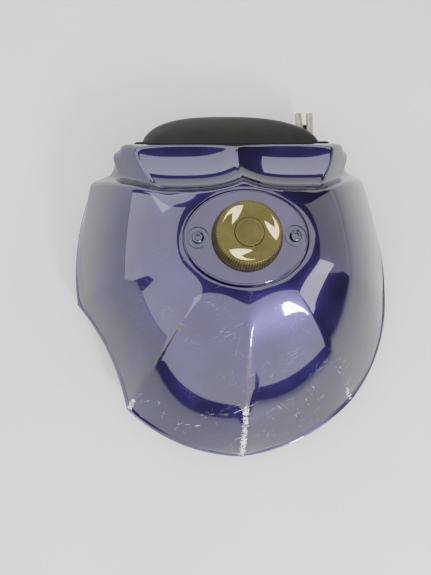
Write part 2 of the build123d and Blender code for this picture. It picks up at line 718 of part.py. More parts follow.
def tail_dome(inset, bottom, top, edge_r):
    """Block with the cover's plan and rounded top edges, against the rear wall."""
    dome = extrude(tail_outline(inset), top - bottom)
    edges = dome.edges().group_by(Axis.Z)[-1].sort_by(Axis.Y)[1:]
    return Pos(0, REAR_WALL_Y, bottom) * fillet(edges, edge_r)


def tail_section():
    cover = tail_dome(0.0, TAIL_BOTTOM_Z, TAIL_TOP_Z, TAIL_EDGE_R)
    inner_edge_r = TAIL_EDGE_R - TAIL_WALL / 2
    cover -= tail_dome(TAIL_WALL, TAIL_BOTTOM_Z - OVER, TAIL_TOP_Z - TAIL_WALL, inner_edge_r)
    flange_y = REAR_WALL_Y + TAIL_FLANGE_T
    cover += block(-TAIL_FLANGE_X, TAIL_FLANGE_X, REAR_WALL_Y, flange_y, TAIL_BOTTOM_Z, TAIL_FLANGE_TOP_Z)
    for x in STUD_PLACES:
        cover -= bar_y(STUD_R, REAR_WALL_Y - OVER, REAR_WALL_Y + STUD_LENGTH, x, STUD_Z)
    return cover


def tail_stud(x):
    return bar_y(STUD_R, REAR_WALL_Y, REAR_WALL_Y + STUD_LENGTH, x, STUD_Z)


def tail_nut(x):
    start = REAR_WALL_Y + TAIL_FLANGE_T
    nut = Pos(x, start, STUD_Z) * Rot(-90, 0, 0) * extrude(RegularPolygon(STUD_NUT_R, 6), STUD_NUT_T)
    return nut - tail_stud(x)


write("tail_section", tail_section())
write("tail_studs", *[tail_stud(x) for x in STUD_PLACES])
write("tail_nuts", *[tail_nut(x) for x in STUD_PLACES])


# --- mounting points --------------------------------------------------------
def front_tab():
    """Right-hand tab, welded to the side of the tunnel."""
    tab = block(TAB_X, TUNNEL_R, TAB_Y - TAB_HALF_LENGTH, TAB_Y + TAB_HALF_LENGTH, TAB_Z, TAB_Z + TAB_T)
    tab &= tunnel(TUNNEL_R)
    return tab - post(GROMMET_NECK_R, TAB_Z - OVER, TAB_Z + TAB_T + OVER, TAB_HOLE_X, TAB_Y)


def grommet():
    bottom, top = TAB_Z - GROMMET_LIP_T, TAB_Z + TAB_T + GROMMET_LIP_T
    ring = post(GROMMET_NECK_R, bottom, top, TAB_HOLE_X, TAB_Y)
    ring += post(GROMMET_R, bottom, TAB_Z, TAB_HOLE_X, TAB_Y)
    ring += post(GROMMET_R, TAB_Z + TAB_T, top, TAB_HOLE_X, TAB_Y)
    return ring - post(SLEEVE_R, bottom - OVER, top + OVER, TAB_HOLE_X, TAB_Y)


def sleeve():
    bottom = TAB_Z - GROMMET_LIP_T - SLEEVE_PROUD
    top = TAB_Z + TAB_T + GROMMET_LIP_T + SLEEVE_PROUD
    tube = post(SLEEVE_R, bottom, top, TAB_HOLE_X, TAB_Y)
    return tube - post(SLEEVE_BORE_R, bottom - OVER, top + OVER, TAB_HOLE_X, TAB_Y)


def rear_bracket():
    """Arch plate welded to the rear wall, with a shelf over the frame."""
    plate = block(-BRACKET_X, BRACKET_X, REAR_WALL_Y, REAR_WALL_Y + BRACKET_T, BRACKET_Z, BRACKET_TOP_Z)
    plate -= tunnel(TUNNEL_R + WALL)
    shelf_z = BRACKET_TOP_Z - BRACKET_T
    end = REAR_WALL_Y + BRACKET_REACH
    plate += block(-BRACKET_SHELF_X, BRACKET_SHELF_X, REAR_WALL_Y, end, shelf_z, BRACKET_TOP_Z)
    return plate - post(REAR_BOLT_R, shelf_z - OVER, BRACKET_TOP_Z + OVER, 0, REAR_NUT_Y)


def rear_nut():
    top = BRACKET_TOP_Z - BRACKET_T
    nut = hexagon(REAR_NUT_R, top - REAR_NUT_T, top, 0, REAR_NUT_Y)
    return nut - post(REAR_BOLT_R, top - REAR_NUT_T - OVER, top + OVER, 0, REAR_NUT_Y)


write("front_tabs", *both_sides(front_tab()))
write("mount_grommets", *both_sides(grommet()))
write("mount_sleeves", *both_sides(sleeve()))
write("rear_bracket", rear_bracket())
write("rear_nut", rear_nut())


# --- fuel tap ---------------------------------------------------------------
def tap_screw_holes(start, end):
    return [bar_y(TAP_SCREW_R, start, end, TAP_X + side * TAP_SCREW_X, TAP_Z) for side in (-1, 1)]


def tap_boss():
    boss = bar_y(BOSS_R, BOSS_INNER_Y, BOSS_OUTER_Y, TAP_X, TAP_Z)
    boss -= bar_y(MAIN_PIPE_R, BOSS_INNER_Y - OVER, BOSS_OUTER_Y + OVER, TAP_X, MAIN_PIPE_Z)
    boss -= bar_y(STANDPIPE_R, BOSS_INNER_Y - OVER, BOSS_OUTER_Y + OVER, TAP_X, STANDPIPE_Z)
    for hole in tap_screw_holes(BOSS_INNER_Y + WALL, BOSS_OUTER_Y + OVER):
        boss -= hole
    return boss


def tap_gasket():
    gasket = bar_y(BOSS_R, BOSS_OUTER_Y, TAP_FLANGE_Y, TAP_X, TAP_Z)
    gasket -= bar_y(MAIN_PIPE_R, BOSS_OUTER_Y - OVER, TAP_FLANGE_Y + OVER, TAP_X, MAIN_PIPE_Z)
    gasket -= bar_y(STANDPIPE_R, BOSS_OUTER_Y - OVER, TAP_FLANGE_Y + OVER, TAP_X, STANDPIPE_Z)
    for hole in tap_screw_holes(BOSS_OUTER_Y - OVER, TAP_FLANGE_Y + OVER):
        gasket -= hole
    return gasket


def spigot_bar(side, radius, start, end):
    """Round bar along one hose spigot's own axis, side -1 or 1 of the tap's middle."""
    bar = Cylinder(radius, end - start, align=(Align.CENTER, Align.CENTER, Align.MIN))
    foot = Pos(TAP_X + side * SPIGOT_SPREAD, SPIGOT_START_Y, SPIGOT_Z)
    return foot * Rot(-90, 0, 0) * Rot(0, side * SPIGOT_SPLAY, 0) * Pos(0, 0, start) * bar


def spigot(side):
    """Hose spigot with a thinner shank that is pressed into the tap."""
    tube = spigot_bar(side, SPIGOT_R, 0, SPIGOT_LENGTH) + spigot_bar(side, SPIGOT_SHANK_R, -SPIGOT_SHANK, 0)
    return tube - spigot_bar(side, SPIGOT_BORE_R, -SPIGOT_SHANK - OVER, SPIGOT_LENGTH + OVER)


def tap_body():
    left, right = TAP_X - TAP_BODY_X, TAP_X + TAP_BODY_X
    body_y = TAP_FLANGE_END_Y + TAP_SCREW_HEAD_H + OVER
    web_left, web_right = TAP_X - TAP_WEB_X, TAP_X + TAP_WEB_X
    body = bar_y(BOSS_R, TAP_FLANGE_Y, TAP_FLANGE_END_Y, TAP_X, TAP_Z)
    body += block(web_left, web_right, TAP_FLANGE_END_Y, TAP_HEAD_END_Y, TAP_WEB_Z, TAP_HEAD_TOP_Z)
    body += block(left, right, body_y, TAP_HEAD_END_Y, TAP_BODY_Z, TAP_HEAD_TOP_Z)
    body += block(left, right, body_y, TAP_END_Y, TAP_BODY_Z, TAP_REAR_TOP_Z)
    body = fillet(body.edges().filter_by(Axis.Z).group_by(Axis.Y)[-1], TAP_CORNER_R)
    for hole in tap_screw_holes(TAP_FLANGE_Y - OVER, TAP_FLANGE_END_Y + OVER):
        body -= hole
    body -= bar_y(MAIN_PIPE_R, TAP_FLANGE_Y - OVER, LEVER_Y, TAP_X, MAIN_PIPE_Z)
    body -= bar_y(STANDPIPE_R, TAP_FLANGE_Y - OVER, TAP_HEAD_END_Y - TAP_END_WALL, TAP_X, STANDPIPE_Z)
    for side in (-1, 1):
        body -= spigot_bar(side, SPIGOT_SHANK_R, -SPIGOT_SHANK, OVER)
    bore_r = LEVER_SHAFT_R + LEVER_SHAFT_FIT
    bore_end = LEVER_FACE_X + LEVER_SHAFT_DEPTH + LEVER_GAP
    return body - bar_x(bore_r, LEVER_FACE_X - OVER, bore_end, LEVER_Y, LEVER_Z)


def tap_screw(side):
    x = TAP_X + side * TAP_SCREW_X
    screw = bar_y(TAP_SCREW_R, BOSS_INNER_Y + WALL + OVER, TAP_FLANGE_END_Y, x, TAP_Z)
    head_end = TAP_FLANGE_END_Y + TAP_SCREW_HEAD_H
    return screw + bar_y(TAP_SCREW_HEAD_R, TAP_FLANGE_END_Y, head_end, x, TAP_Z)


def strainer():
    start, end = BOSS_INNER_Y - STRAINER_LENGTH, BOSS_INNER_Y
    tube = bar_y(STRAINER_R, start, end, TAP_X, MAIN_PIPE_Z)
    inside = bar_y(STRAINER_R - STRAINER_T, start + STRAINER_T, end + OVER, TAP_X, MAIN_PIPE_Z)
    return tube - inside


def standpipe():
    start = (TAP_X, BOSS_OUTER_Y, STANDPIPE_Z)
    turn = (TAP_X, BOSS_INNER_Y - STANDPIPE_RUN, STANDPIPE_Z)
    top = (TAP_X, BOSS_INNER_Y - STANDPIPE_RUN, STANDPIPE_TOP_Z)
    path = FilletPolyline(start, turn, top, radius=STANDPIPE_BEND)
    plane = Plane(origin=start, z_dir=(0, -1, 0))
    outer = sweep(plane * Circle(STANDPIPE_R), path)
    return outer - sweep(plane * Circle(STANDPIPE_BORE_R), path)


def tap_lever():
    """Hub and handle on the inner side of the tap, hanging straight down."""
    hub_end = LEVER_FACE_X - LEVER_GAP
    hub_start = hub_end - LEVER_HUB_T
    hub = bar_x(LEVER_HUB_R, hub_start, hub_end, LEVER_Y, LEVER_Z)
    left, right = LEVER_Y - LEVER_HALF_WIDTH, LEVER_Y + LEVER_HALF_WIDTH
    handle = block(hub_start, hub_start + LEVER_T, left, right, LEVER_Z - LEVER_LENGTH, LEVER_Z)
    handle = fillet(handle.edges().filter_by(Axis.X).group_by(Axis.Z)[0], LEVER_END_R)
    lever = hub + handle
    lever += bar_x(LEVER_SHAFT_R, hub_end - OVER, LEVER_FACE_X + LEVER_SHAFT_DEPTH, LEVER_Y, LEVER_Z)
    return lever - bar_x(LEVER_SCREW_R, hub_start - OVER, hub_start + LEVER_SCREW_LENGTH, LEVER_Y, LEVER_Z)


def lever_screw():
    start = LEVER_FACE_X - LEVER_GAP - LEVER_HUB_T
    screw = bar_x(LEVER_SCREW_R, start, start + LEVER_SCREW_LENGTH, LEVER_Y, LEVER_Z)
    return screw + bar_x(LEVER_SCREW_HEAD_R, start - LEVER_SCREW_HEAD_H, start, LEVER_Y, LEVER_Z)


write("tap_boss", tap_boss())
write("tap_gasket", tap_gasket())
write("tap_body", tap_body())
write("tap_screws", *[tap_screw(side) for side in (-1, 1)])
write("fuel_spigot", spigot(-1))
write("vacuum_spigot", spigot(1))
write("strainer", strainer())
write("standpipe", standpipe())
write("tap_lever", tap_lever())
write("lever_screw", lever_screw())
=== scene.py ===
import logging
import math
from dataclasses import dataclass, field
from enum import Enum
from typing import Dict, List, Optional, Sequence, Tuple

import bpy
import numpy as np
from mathutils import Euler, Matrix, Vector


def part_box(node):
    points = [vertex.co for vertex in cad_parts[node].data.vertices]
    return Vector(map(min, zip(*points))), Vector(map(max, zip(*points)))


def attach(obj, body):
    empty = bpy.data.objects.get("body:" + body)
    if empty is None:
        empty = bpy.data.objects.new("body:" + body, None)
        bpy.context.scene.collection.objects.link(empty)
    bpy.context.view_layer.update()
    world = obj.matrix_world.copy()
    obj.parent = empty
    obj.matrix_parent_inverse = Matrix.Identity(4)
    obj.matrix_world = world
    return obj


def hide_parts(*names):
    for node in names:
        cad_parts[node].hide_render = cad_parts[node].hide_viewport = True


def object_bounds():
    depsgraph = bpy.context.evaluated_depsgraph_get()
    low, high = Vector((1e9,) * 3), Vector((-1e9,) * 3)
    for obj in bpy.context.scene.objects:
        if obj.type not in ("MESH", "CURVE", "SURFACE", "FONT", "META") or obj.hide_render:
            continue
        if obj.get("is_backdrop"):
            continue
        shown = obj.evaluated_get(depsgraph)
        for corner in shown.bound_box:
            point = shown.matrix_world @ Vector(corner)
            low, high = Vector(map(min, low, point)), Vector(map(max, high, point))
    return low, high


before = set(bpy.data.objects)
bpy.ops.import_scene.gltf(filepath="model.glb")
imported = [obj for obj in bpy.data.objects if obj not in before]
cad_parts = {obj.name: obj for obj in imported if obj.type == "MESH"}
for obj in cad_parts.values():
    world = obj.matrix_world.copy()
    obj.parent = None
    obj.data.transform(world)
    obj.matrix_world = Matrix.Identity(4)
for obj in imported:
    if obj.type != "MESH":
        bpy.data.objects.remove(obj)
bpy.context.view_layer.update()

LOG = logging.getLogger("fuel_tank")
MM = 0.001
Colour = Tuple[float, float, float]
Point = Tuple[float, float, float]

# the middle of the cap, which every new mesh is drawn about
FILLER = (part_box("cap_body")[0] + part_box("cap_body")[1]) / 2


class Body(Enum):
    """The rigid bodies that pieces ride on."""

    TANK = "tank"
    CAP_SEAL = "cap_seal"
    CAP = "cap"
    BUTTON = "button"
    LEVER = "lever"


# --------------------------------------------------------------------------
# Materials
# --------------------------------------------------------------------------
class NodeKit:
    """Short calls for laying out one material's nodes."""

    def __init__(self, name: str) -> None:
        """Start a material with a Principled shader.

        Args:
            name: the material's name.
        """
        self.material = bpy.data.materials.new(name)
        self.material.use_nodes = True
        self.tree = self.material.node_tree
        self.shader = self.tree.nodes["Principled BSDF"]

    def add(self, kind: str, **values: object) -> bpy.types.Node:
        """Add a node and set its properties or its input sockets by name.

        Args:
            kind: the node's type, such as ShaderNodeMath.
            values: properties, or sockets with spaces written as underscores.

        Returns:
            The new node.
        """
        node = self.tree.nodes.new(kind)
        for key, value in values.items():
            if hasattr(node, key):
                setattr(node, key, value)
            else:
                self.feed(node, key.replace("_", " "), value)
        return node

    def feed(self, node: bpy.types.Node, socket: object, value: object) -> None:
        """Link a socket to an output, or set it to a constant.

        Args:
            node: the node that takes the value.
            socket: the input's name or number.
            value: an output socket or a constant.
        """
        target = node.inputs[socket]
        if isinstance(value, bpy.types.NodeSocket):
            self.tree.links.new(value, target)
        else:
            target.default_value = value

    def coords(
        self, scale: Sequence[float] = (1, 1, 1), turn: Sequence[float] = (0, 0, 0)
    ) -> bpy.types.NodeSocket:
        """Object coordinates, scaled and turned.

        Args:
            scale: factor along each axis.
            turn: turn about each axis, in degrees.

        Returns:
            The mapped vector's output.
        """
        place = self.add("ShaderNodeTexCoord")
        mapping = self.add("ShaderNodeMapping")
        mapping.vector_type = "TEXTURE"  # turned first, then scaled
        mapping.inputs["Rotation"].default_value = [math.radians(angle) for angle in turn]
        mapping.inputs["Scale"].default_value = [1 / factor for factor in scale]
        self.feed(mapping, "Vector", place.outputs["Object"])
        return mapping.outputs[0]

    def noise(
        self, size_mm: float, detail: float = 3.0, roughness: float = 0.5, vector: Optional[object] = None
    ) -> bpy.types.NodeSocket:
        """Noise whose features are about size_mm across.

        Args:
            size_mm: width of one feature.
            detail: octaves.
            roughness: strength of the finer octaves.
            vector: coordinates in place of the plain ones.

        Returns:
            The noise factor's output.
        """
        node = self.add("ShaderNodeTexNoise", Scale=1 / (size_mm * MM), Detail=detail, Roughness=roughness)
        self.feed(node, "Vector", self.coords() if vector is None else vector)
        return node.outputs["Fac"]

    def ramp(
        self, value: object, low: float, high: float, out_low: float = 0.0, out_high: float = 1.0
    ) -> bpy.types.NodeSocket:
        """Smooth step as a value goes from low to high.

        Args:
            value: the output that drives it.
            low: where the step starts.
            high: where the step ends.
            out_low: result at the start.
            out_high: result at the end.

        Returns:
            The step's output.
        """
        node = self.add("ShaderNodeMapRange", interpolation_type="SMOOTHSTEP")
        for socket, number in zip((0, 1, 2, 3, 4), (value, low, high, out_low, out_high)):
            self.feed(node, socket, number)
        return node.outputs[0]

    def math(self, operation: str, a: object, b: object = 0.0) -> bpy.types.NodeSocket:
        """Result of one math operation.

        Args:
            operation: the operation's name.
            a: the first value or output.
            b: the second.

        Returns:
            The result's output.
        """
        node = self.add("ShaderNodeMath", operation=operation)
        self.feed(node, 0, a)
        self.feed(node, 1, b)
        return node.outputs[0]

    def mix(self, factor: object, a: object, b: object) -> bpy.types.NodeSocket:
        """Colour between two others.

        Args:
            factor: 0 for a and 1 for b.
            a: the first colour or output.
            b: the second.

        Returns:
            The mixed colour's output.
        """
        node = self.add("ShaderNodeMix", data_type="RGBA")
        self.feed(node, 0, factor)
        self.feed(node, 6, self.colour(a))
        self.feed(node, 7, self.colour(b))
        return node.outputs[2]

    @staticmethod
    def colour(value: object) -> object:
        """A colour with its alpha, or an output as it is."""
        if isinstance(value, bpy.types.NodeSocket):
            return value
        return (*value, 1.0)

    def attribute(self, name: str) -> bpy.types.NodeSocket:
        """A number stored on the mesh's points."""
        return self.add("ShaderNodeAttribute", attribute_name=name).outputs["Fac"]

    def bump(
        self, height: object, distance_mm: float, strength: float = 1.0, under: Optional[object] = None
    ) -> bpy.types.NodeSocket:
        """Normal from a height.

        Args:
            height: the height's output, 0 to 1.
            distance_mm: how high 1 stands.
            strength: share of the effect.
            under: a normal that this one adds to.

        Returns:
            The bump's normal output.
        """
        node = self.add("ShaderNodeBump", Strength=strength, Distance=distance_mm * MM)
        self.feed(node, "Height", height)
        if under is not None:
            self.feed(node, "Normal", under)
        return node.outputs["Normal"]

    def set(self, **values: object) -> None:
        """Set or link the shader's own sockets.

        Args:
            values: the sockets' values or outputs, with spaces written as underscores.
        """
        for key, value in values.items():
            name = key.replace("_", " ")
            if name in ("Base Color", "Specular Tint", "Coat Tint", "Sheen Tint"):
                value = self.colour(value)
            self.feed(self.shader, name, value)


@dataclass(frozen=True)
class CandyLacquer:
    """Blue-violet candy lacquer with a mirror-like clear coat and, if asked, wear."""

    name: str = "blue_candy_lacquer"
    worn: bool = True
    flake: Colour = (0.021, 0.012, 0.070)
    shade: Colour = (0.013, 0.007, 0.038)
    edge: Colour = (0.08, 0.07, 0.30)
    rubbed: Colour = (0.11, 0.095, 0.03)
    primer: Colour = (0.72, 0.72, 0.70)
    dust: Colour = (0.45, 0.43, 0.38)
    metallic: float = 0.92
    coat_ior: float = 1.62
    coat_rough: float = 0.035
    rub_share: float = 0.5
    chip_grit: float = 2.2
    # turn in degrees, length and width in millimetres, and the noise that it starts at
    strokes: Tuple[Tuple[float, float, float, float], ...] = (
        (24, 22.0, 0.5, 0.735), (-38, 16.0, 0.5, 0.745), (78, 26.0, 0.5, 0.74), (8, 12.0, 0.7, 0.755),
    )

    def build(self) -> bpy.types.Material:
        """Lay out the lacquer.

        Returns:
            The finished material.
        """
        kit = NodeKit(self.name)
        cloud = kit.noise(45, 2.0)
        colour = kit.mix(kit.ramp(cloud, 0.3, 0.7), self.shade, self.flake)
        dust = kit.ramp(kit.noise(1.1, 2.0, 0.6), 0.735, 0.77)
        colour = kit.mix(kit.math("MULTIPLY", dust, 0.35), colour, self.dust)
        peel = kit.noise(5.0, 2.0)
        normal = kit.bump(peel, 0.006, 0.35)
        metal, rough, coat = self.metallic, kit.ramp(cloud, 0.2, 0.8, 0.30, 0.40), 1.0
        if self.worn:
            colour, metal, rough, coat, normal = self.wear(kit, colour, rough, normal)
        kit.set(
            Base_Color=colour, Metallic=metal, Roughness=rough, Coat_Weight=coat,
            Coat_Roughness=self.coat_rough, Coat_IOR=self.coat_ior, Specular_Tint=self.edge,
            Normal=normal, Coat_Normal=normal,
        )
        return kit.material

    def wear(self, kit: NodeKit, colour: object, rough: object, normal: object) -> Tuple[object, ...]:
        """Rubbed ridges, chips at the corners and fine scratches.

        Args:
            kit: the material being laid out.
            colour: the lacquer's colour.
            rough: the lacquer's roughness.
            normal: the lacquer's surface.

        Returns:
            Colour, metallic, roughness, coat weight and normal with the wear in.
        """
        blotch = kit.math("SUBTRACT", kit.noise(7.0, 5.0, 0.65), 0.5)
        rub = kit.ramp(kit.math("ADD", kit.attribute("rub"), blotch), 0.42, 0.80)
        grit = kit.math("SUBTRACT", kit.noise(2.4, 6.0, 0.75), 0.5)
        grit = kit.math("MULTIPLY", grit, self.chip_grit)
        chip = kit.ramp(kit.math("ADD", kit.attribute("chip"), grit), 0.86, 0.93)
        bare = kit.math("MAXIMUM", chip, self.scratches(kit))
        rubbed = kit.math("MULTIPLY", rub, self.rub_share)
        colour = kit.mix(bare, kit.mix(rubbed, colour, self.rubbed), self.primer)
        kept = kit.math("SUBTRACT", 1.0, kit.math("MAXIMUM", bare, rubbed))
        metal = kit.math("MULTIPLY", self.metallic, kept)
        rough = kit.math("ADD", rough, kit.math("MULTIPLY", bare, 0.25))
        dulled = kit.math("MAXIMUM", kit.math("MULTIPLY", bare, 0.85), kit.math("MULTIPLY", rub, 0.45))
        coat = kit.math("SUBTRACT", 1.0, dulled)
        normal = kit.bump(kit.math("SUBTRACT", 1.0, bare), 0.12, 0.6, normal)
        return colour, metal, rough, coat, normal

    def scratches(self, kit: NodeKit) -> bpy.types.NodeSocket:
        """Thin straight scratches in several directions, where the mesh says scuff.

        Args:
            kit: the material being laid out.

        Returns:
            1 in a scratch and 0 elsewhere.
        """
        found: object = 0.0
        for turn, length, width, cut in self.strokes:
            drawn_out = kit.coords((1 / length, 1 / width, 1 / length), (0, 0, turn))
            streak = kit.noise(1.0, 1.0, 0.4, drawn_out)
            found = kit.math("MAXIMUM", found, kit.ramp(streak, cut, cut + 0.02))
        patch = kit.ramp(kit.noise(22.0, 2.0), 0.46, 0.60)
        return kit.math("MULTIPLY", kit.math("MULTIPLY", found, patch), kit.attribute("scuff"))


@dataclass(frozen=True)
class Finish:
    """A plain finish with grain, blotches and roughness detail.

    colour and dark: the two colours that the blotches run between
    metallic, rough, spread: the shader's metallic, its roughness and how far that varies
    blotch_mm, grain_mm, grain_height: sizes of the blotches and grain, and the grain's height
    coat: clear coat weight
    speck, speck_colour: strength and colour of the dust specks
    specular: strength of the plain reflection
    """

    name: str
    colour: Colour
    dark: Colour
    metallic: float = 0.0
    rough: float = 0.5
    spread: float = 0.1
    blotch_mm: float = 18.0
    grain_mm: float = 0.8
    grain_height: float = 0.02
    coat: float = 0.0
    speck: float = 0.0
    speck_colour: Colour = (0.5, 0.48, 0.42)
    specular: float = 0.5

    def build(self) -> bpy.types.Material:
        """Lay out the finish.

        Returns:
            The finished material.
        """
        kit = NodeKit(self.name)
        blotch = kit.noise(self.blotch_mm, 4.0, 0.6)
        grain = kit.noise(self.grain_mm, 3.0, 0.6)
        colour = kit.mix(kit.ramp(blotch, 0.3, 0.7), self.dark, self.colour)
        if self.speck:
            specks = kit.math("MULTIPLY", kit.ramp(kit.noise(1.3, 2.0, 0.6), 0.72, 0.76), self.speck)
            colour = kit.mix(specks, colour, self.speck_colour)
        mixed = kit.math("ADD", kit.math("MULTIPLY", blotch, 0.5), kit.math("MULTIPLY", grain, 0.5))
        smoothest, roughest = max(self.rough - self.spread, 0.02), min(self.rough + self.spread, 1.0)
        kit.set(
            Base_Color=colour, Metallic=self.metallic, Coat_Weight=self.coat, Coat_Roughness=0.12,
            Roughness=kit.ramp(mixed, 0.3, 0.7, smoothest, roughest), Specular_IOR_Level=self.specular,
            Normal=kit.bump(grain, self.grain_height, 0.8),
        )
        return kit.material


FINISHES: Dict[str, object] = {
    "worn_lacquer": CandyLacquer(),
    "plate_lacquer": CandyLacquer("plate_candy_lacquer", worn=False),
    "black_paint": Finish(
        "black_paint", (0.007, 0.007, 0.008), (0.004, 0.004, 0.005), 0, 0.28, 0.1, 30, 2.5, 0.02, 0.3,
        speck=0.15, specular=0.3,
    ),
    "black_plastic": Finish(
        "black_textured_plastic", (0.010, 0.010, 0.007), (0.006, 0.006, 0.004), 0, 0.50, 0.1, 24, 0.9, 0.10,
        speck=0.25, specular=0.22,
    ),
    "zinc_steel": Finish("zinc_plate", (0.56, 0.55, 0.50), (0.40, 0.39, 0.35), 1, 0.34, 0.1, 8, 0.7, 0.01),
    "screw_steel": Finish(
        "blued_steel", (0.085, 0.085, 0.115), (0.055, 0.055, 0.080), 1, 0.22, 0.08, 5, 0.5, 0.008
    ),
    "black_rubber": Finish(
        "black_rubber", (0.022, 0.022, 0.022), (0.013, 0.013, 0.013), 0, 0.6, 0.1, 9, 0.7, 0.02
    ),
    "tap_casting": Finish(
        "black_tap_casting", (0.022, 0.022, 0.022), (0.012, 0.012, 0.012), 0.2, 0.5, 0.1, 9, 0.9, 0.05
    ),
    "pale_brass": Finish(
        "pale_brass_tube", (0.36, 0.31, 0.22), (0.24, 0.20, 0.13), 0.35, 0.36, 0.1, 6, 0.6, 0.01
    ),
    "strainer_mesh": Finish(
        "brass_gauze", (0.60, 0.46, 0.20), (0.42, 0.32, 0.13), 0.8, 0.45, 0.1, 2, 0.5, 0.08
    ),
    "gold_anodised": Finish(
        "olive_gold_anodised", (0.105, 0.090, 0.030), (0.075, 0.063, 0.020), 0.85, 0.42, 0.07, 12, 0.5, 0.012,
        speck=0.35, speck_colour=(0.75, 0.73, 0.6),
    ),
    "cream_inlay": Finish(
        "cream_enamel", (0.74, 0.66, 0.30), (0.62, 0.54, 0.22), 0, 0.25, 0.05, 6, 1.0, 0.01, 0.5
    ),
    "insert_alloy": Finish(
        "machined_alloy", (0.58, 0.58, 0.57), (0.45, 0.45, 0.44), 1, 0.35, 0.1, 7, 0.5, 0.01
    ),
    "floor": Finish(
        "pale_studio_floor", (0.60, 0.595, 0.575), (0.56, 0.555, 0.54), 0, 0.85, 0.05, 300, 4.0, 0.02
    ),
}
_built: Dict[str, bpy.types.Material] = {}


def material(name: str) -> bpy.types.Material:
    """The material of a finish, built once.

    Args:
        name: a key of FINISHES.

    Returns:
        The material.
    """
    if name not in _built:
        _built[name] = FINISHES[name].build()
    return _built[name]


# --------------------------------------------------------------------------
# Mesh helpers
# --------------------------------------------------------------------------
def make_piece(
    name: str, verts: np.ndarray, faces: Sequence[Sequence[int]], finish: str, sharp: float = 35.0
) -> bpy.types.Object:
    """Make a mesh object from points in millimetres about the filler axis.

    Args:
        name: the piece's name.
        verts: points, (n, 3), x and y from the filler axis and z from the ground.
        faces: corner numbers of each face.
        finish: a key of FINISHES.
        sharp: edges that turn more than this stay sharp, in degrees.

    Returns:
        The new object.
    """
    place = np.asarray(verts, float) * MM + np.array([FILLER.x, FILLER.y, 0.0])
    mesh = bpy.data.meshes.new(name)
    mesh.from_pydata(place.tolist(), [], [list(map(int, face)) for face in faces])
    mesh.validate()
    mesh.update()
    mesh.materials.append(material(finish))
    soften(mesh, sharp)
    piece = bpy.data.objects.new(name, mesh)
    bpy.context.scene.collection.objects.link(piece)
    return piece


def soften(mesh: bpy.types.Mesh, sharp: float) -> None:
    """Shade a mesh smooth, apart from its sharp edges.

    Args:
        mesh: the mesh.
        sharp: edges that turn more than this stay sharp, in degrees.
    """
    mesh.polygons.foreach_set("use_smooth", [True] * len(mesh.polygons))
    mesh.set_sharp_from_angle(angle=math.radians(sharp))


def wrap_faces(rows: int, columns: int, close_rows: bool = False) -> List[Tuple[int, int, int, int]]:
    """Quads of a grid whose columns go all the way round.

    Args:
        rows: number of rings.
        columns: points in a ring.
        close_rows: also join the last ring to the first.

    Returns:
        The quads, facing outwards when rings rise and columns turn anticlockwise.
    """
    faces = []
    for row in range(rows if close_rows else rows - 1):
        here, above = row * columns, (row + 1) % rows * columns
        for column in range(columns):
            after = (column + 1) % columns
            faces.append((here + column, here + after, above + after, above + column))
    return faces


def lathe(
    name: str, profile: Sequence[Tuple[float, float]], finish: str, segments: int = 96, sharp: float = 35.0
) -> bpy.types.Object:
    """Turn a closed profile round the filler axis.

    Args:
        name: the piece's name.
        profile: (radius, height) points in order, up the outside and down the inside.
        finish: a key of FINISHES.
        segments: sides of the turned shape.
        sharp: edges that turn more than this stay sharp, in degrees.

    Returns:
        The turned piece.
    """
    angles = np.linspace(0, 2 * math.pi, segments, endpoint=False)
    rings = [np.stack([r * np.cos(angles), r * np.sin(angles), np.full(segments, z)], 1) for r, z in profile]
    return make_piece(name, np.concatenate(rings), wrap_faces(len(profile), segments, True), finish, sharp)


def rounded(
    corner: Tuple[float, float], before: Tuple[float, float], after: Tuple[float, float],
    radius: float, steps: int = 5,
) -> List[Tuple[float, float]]:
    """Points of a rounded corner in a profile.

    Args:
        corner: the sharp corner.
        before: the profile's point before it.
        after: the profile's point after it.
        radius: how far from the corner the rounding starts.
        steps: points in the rounding.

    Returns:
        The points that take the corner's place.
    """
    c, a, b = (np.array(point, float) for point in (corner, before, after))
    start = c + (a - c) / np.linalg.norm(a - c) * radius
    end = c + (b - c) / np.linalg.norm(b - c) * radius
    out = []
    for t in np.linspace(0, 1, steps):
        out.append(tuple((1 - t) ** 2 * start + 2 * t * (1 - t) * c + t ** 2 * end))
    return out


def finish_piece(piece: bpy.types.Object, body: Body, slot: str, *nodes: str) -> None:
    """Tell the frame what a piece rides on, and hide the CAD nodes that it stands for.

    Args:
        piece: the new piece.
        body: the body that it moves with.
        slot: not used.
        nodes: CAD nodes that it replaces.
    """
    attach(piece, body.value)
    if nodes:
        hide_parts(*nodes)
    LOG.info("%s: %d faces on %s", piece.name, len(piece.data.polygons), body.value)


# --------------------------------------------------------------------------
# The pressed shell
# --------------------------------------------------------------------------
@dataclass
class Meridian:
    """One line down the pressing, from the filler plate's land to the seam.

    angle: where it leaves the oval land, in degrees
    seam: where it meets the seam, (x, y)
    foot: height below which it runs straight down
    bend: 1 is a straight slope, and larger is fuller
    crown: 1 is level where it leaves the land, and larger is flatter for longer
    crease: how far the pressing's ridge is rounded here, 0 to 1
    """

    angle: float
    seam: Tuple[float, float]
    foot: float
    bend: float
    crown: float = 1.0
    crease: float = 0.0


def bowed(a: Tuple[float, float], b: Tuple[float, float], bulge: float) -> Tuple[float, float]:
    """Middle of a chord, moved out.

    Args:
        a: where the chord starts.
        b: where it ends.
        bulge: how far its middle moves to the right of the way from a to b.

    Returns:
        The moved middle.
    """
    dx, dy = b[0] - a[0], b[1] - a[1]
    length = math.hypot(dx, dy)
    return ((a[0] + b[0]) / 2 + dy / length * bulge, (a[1] + b[1]) / 2 - dx / length * bulge)


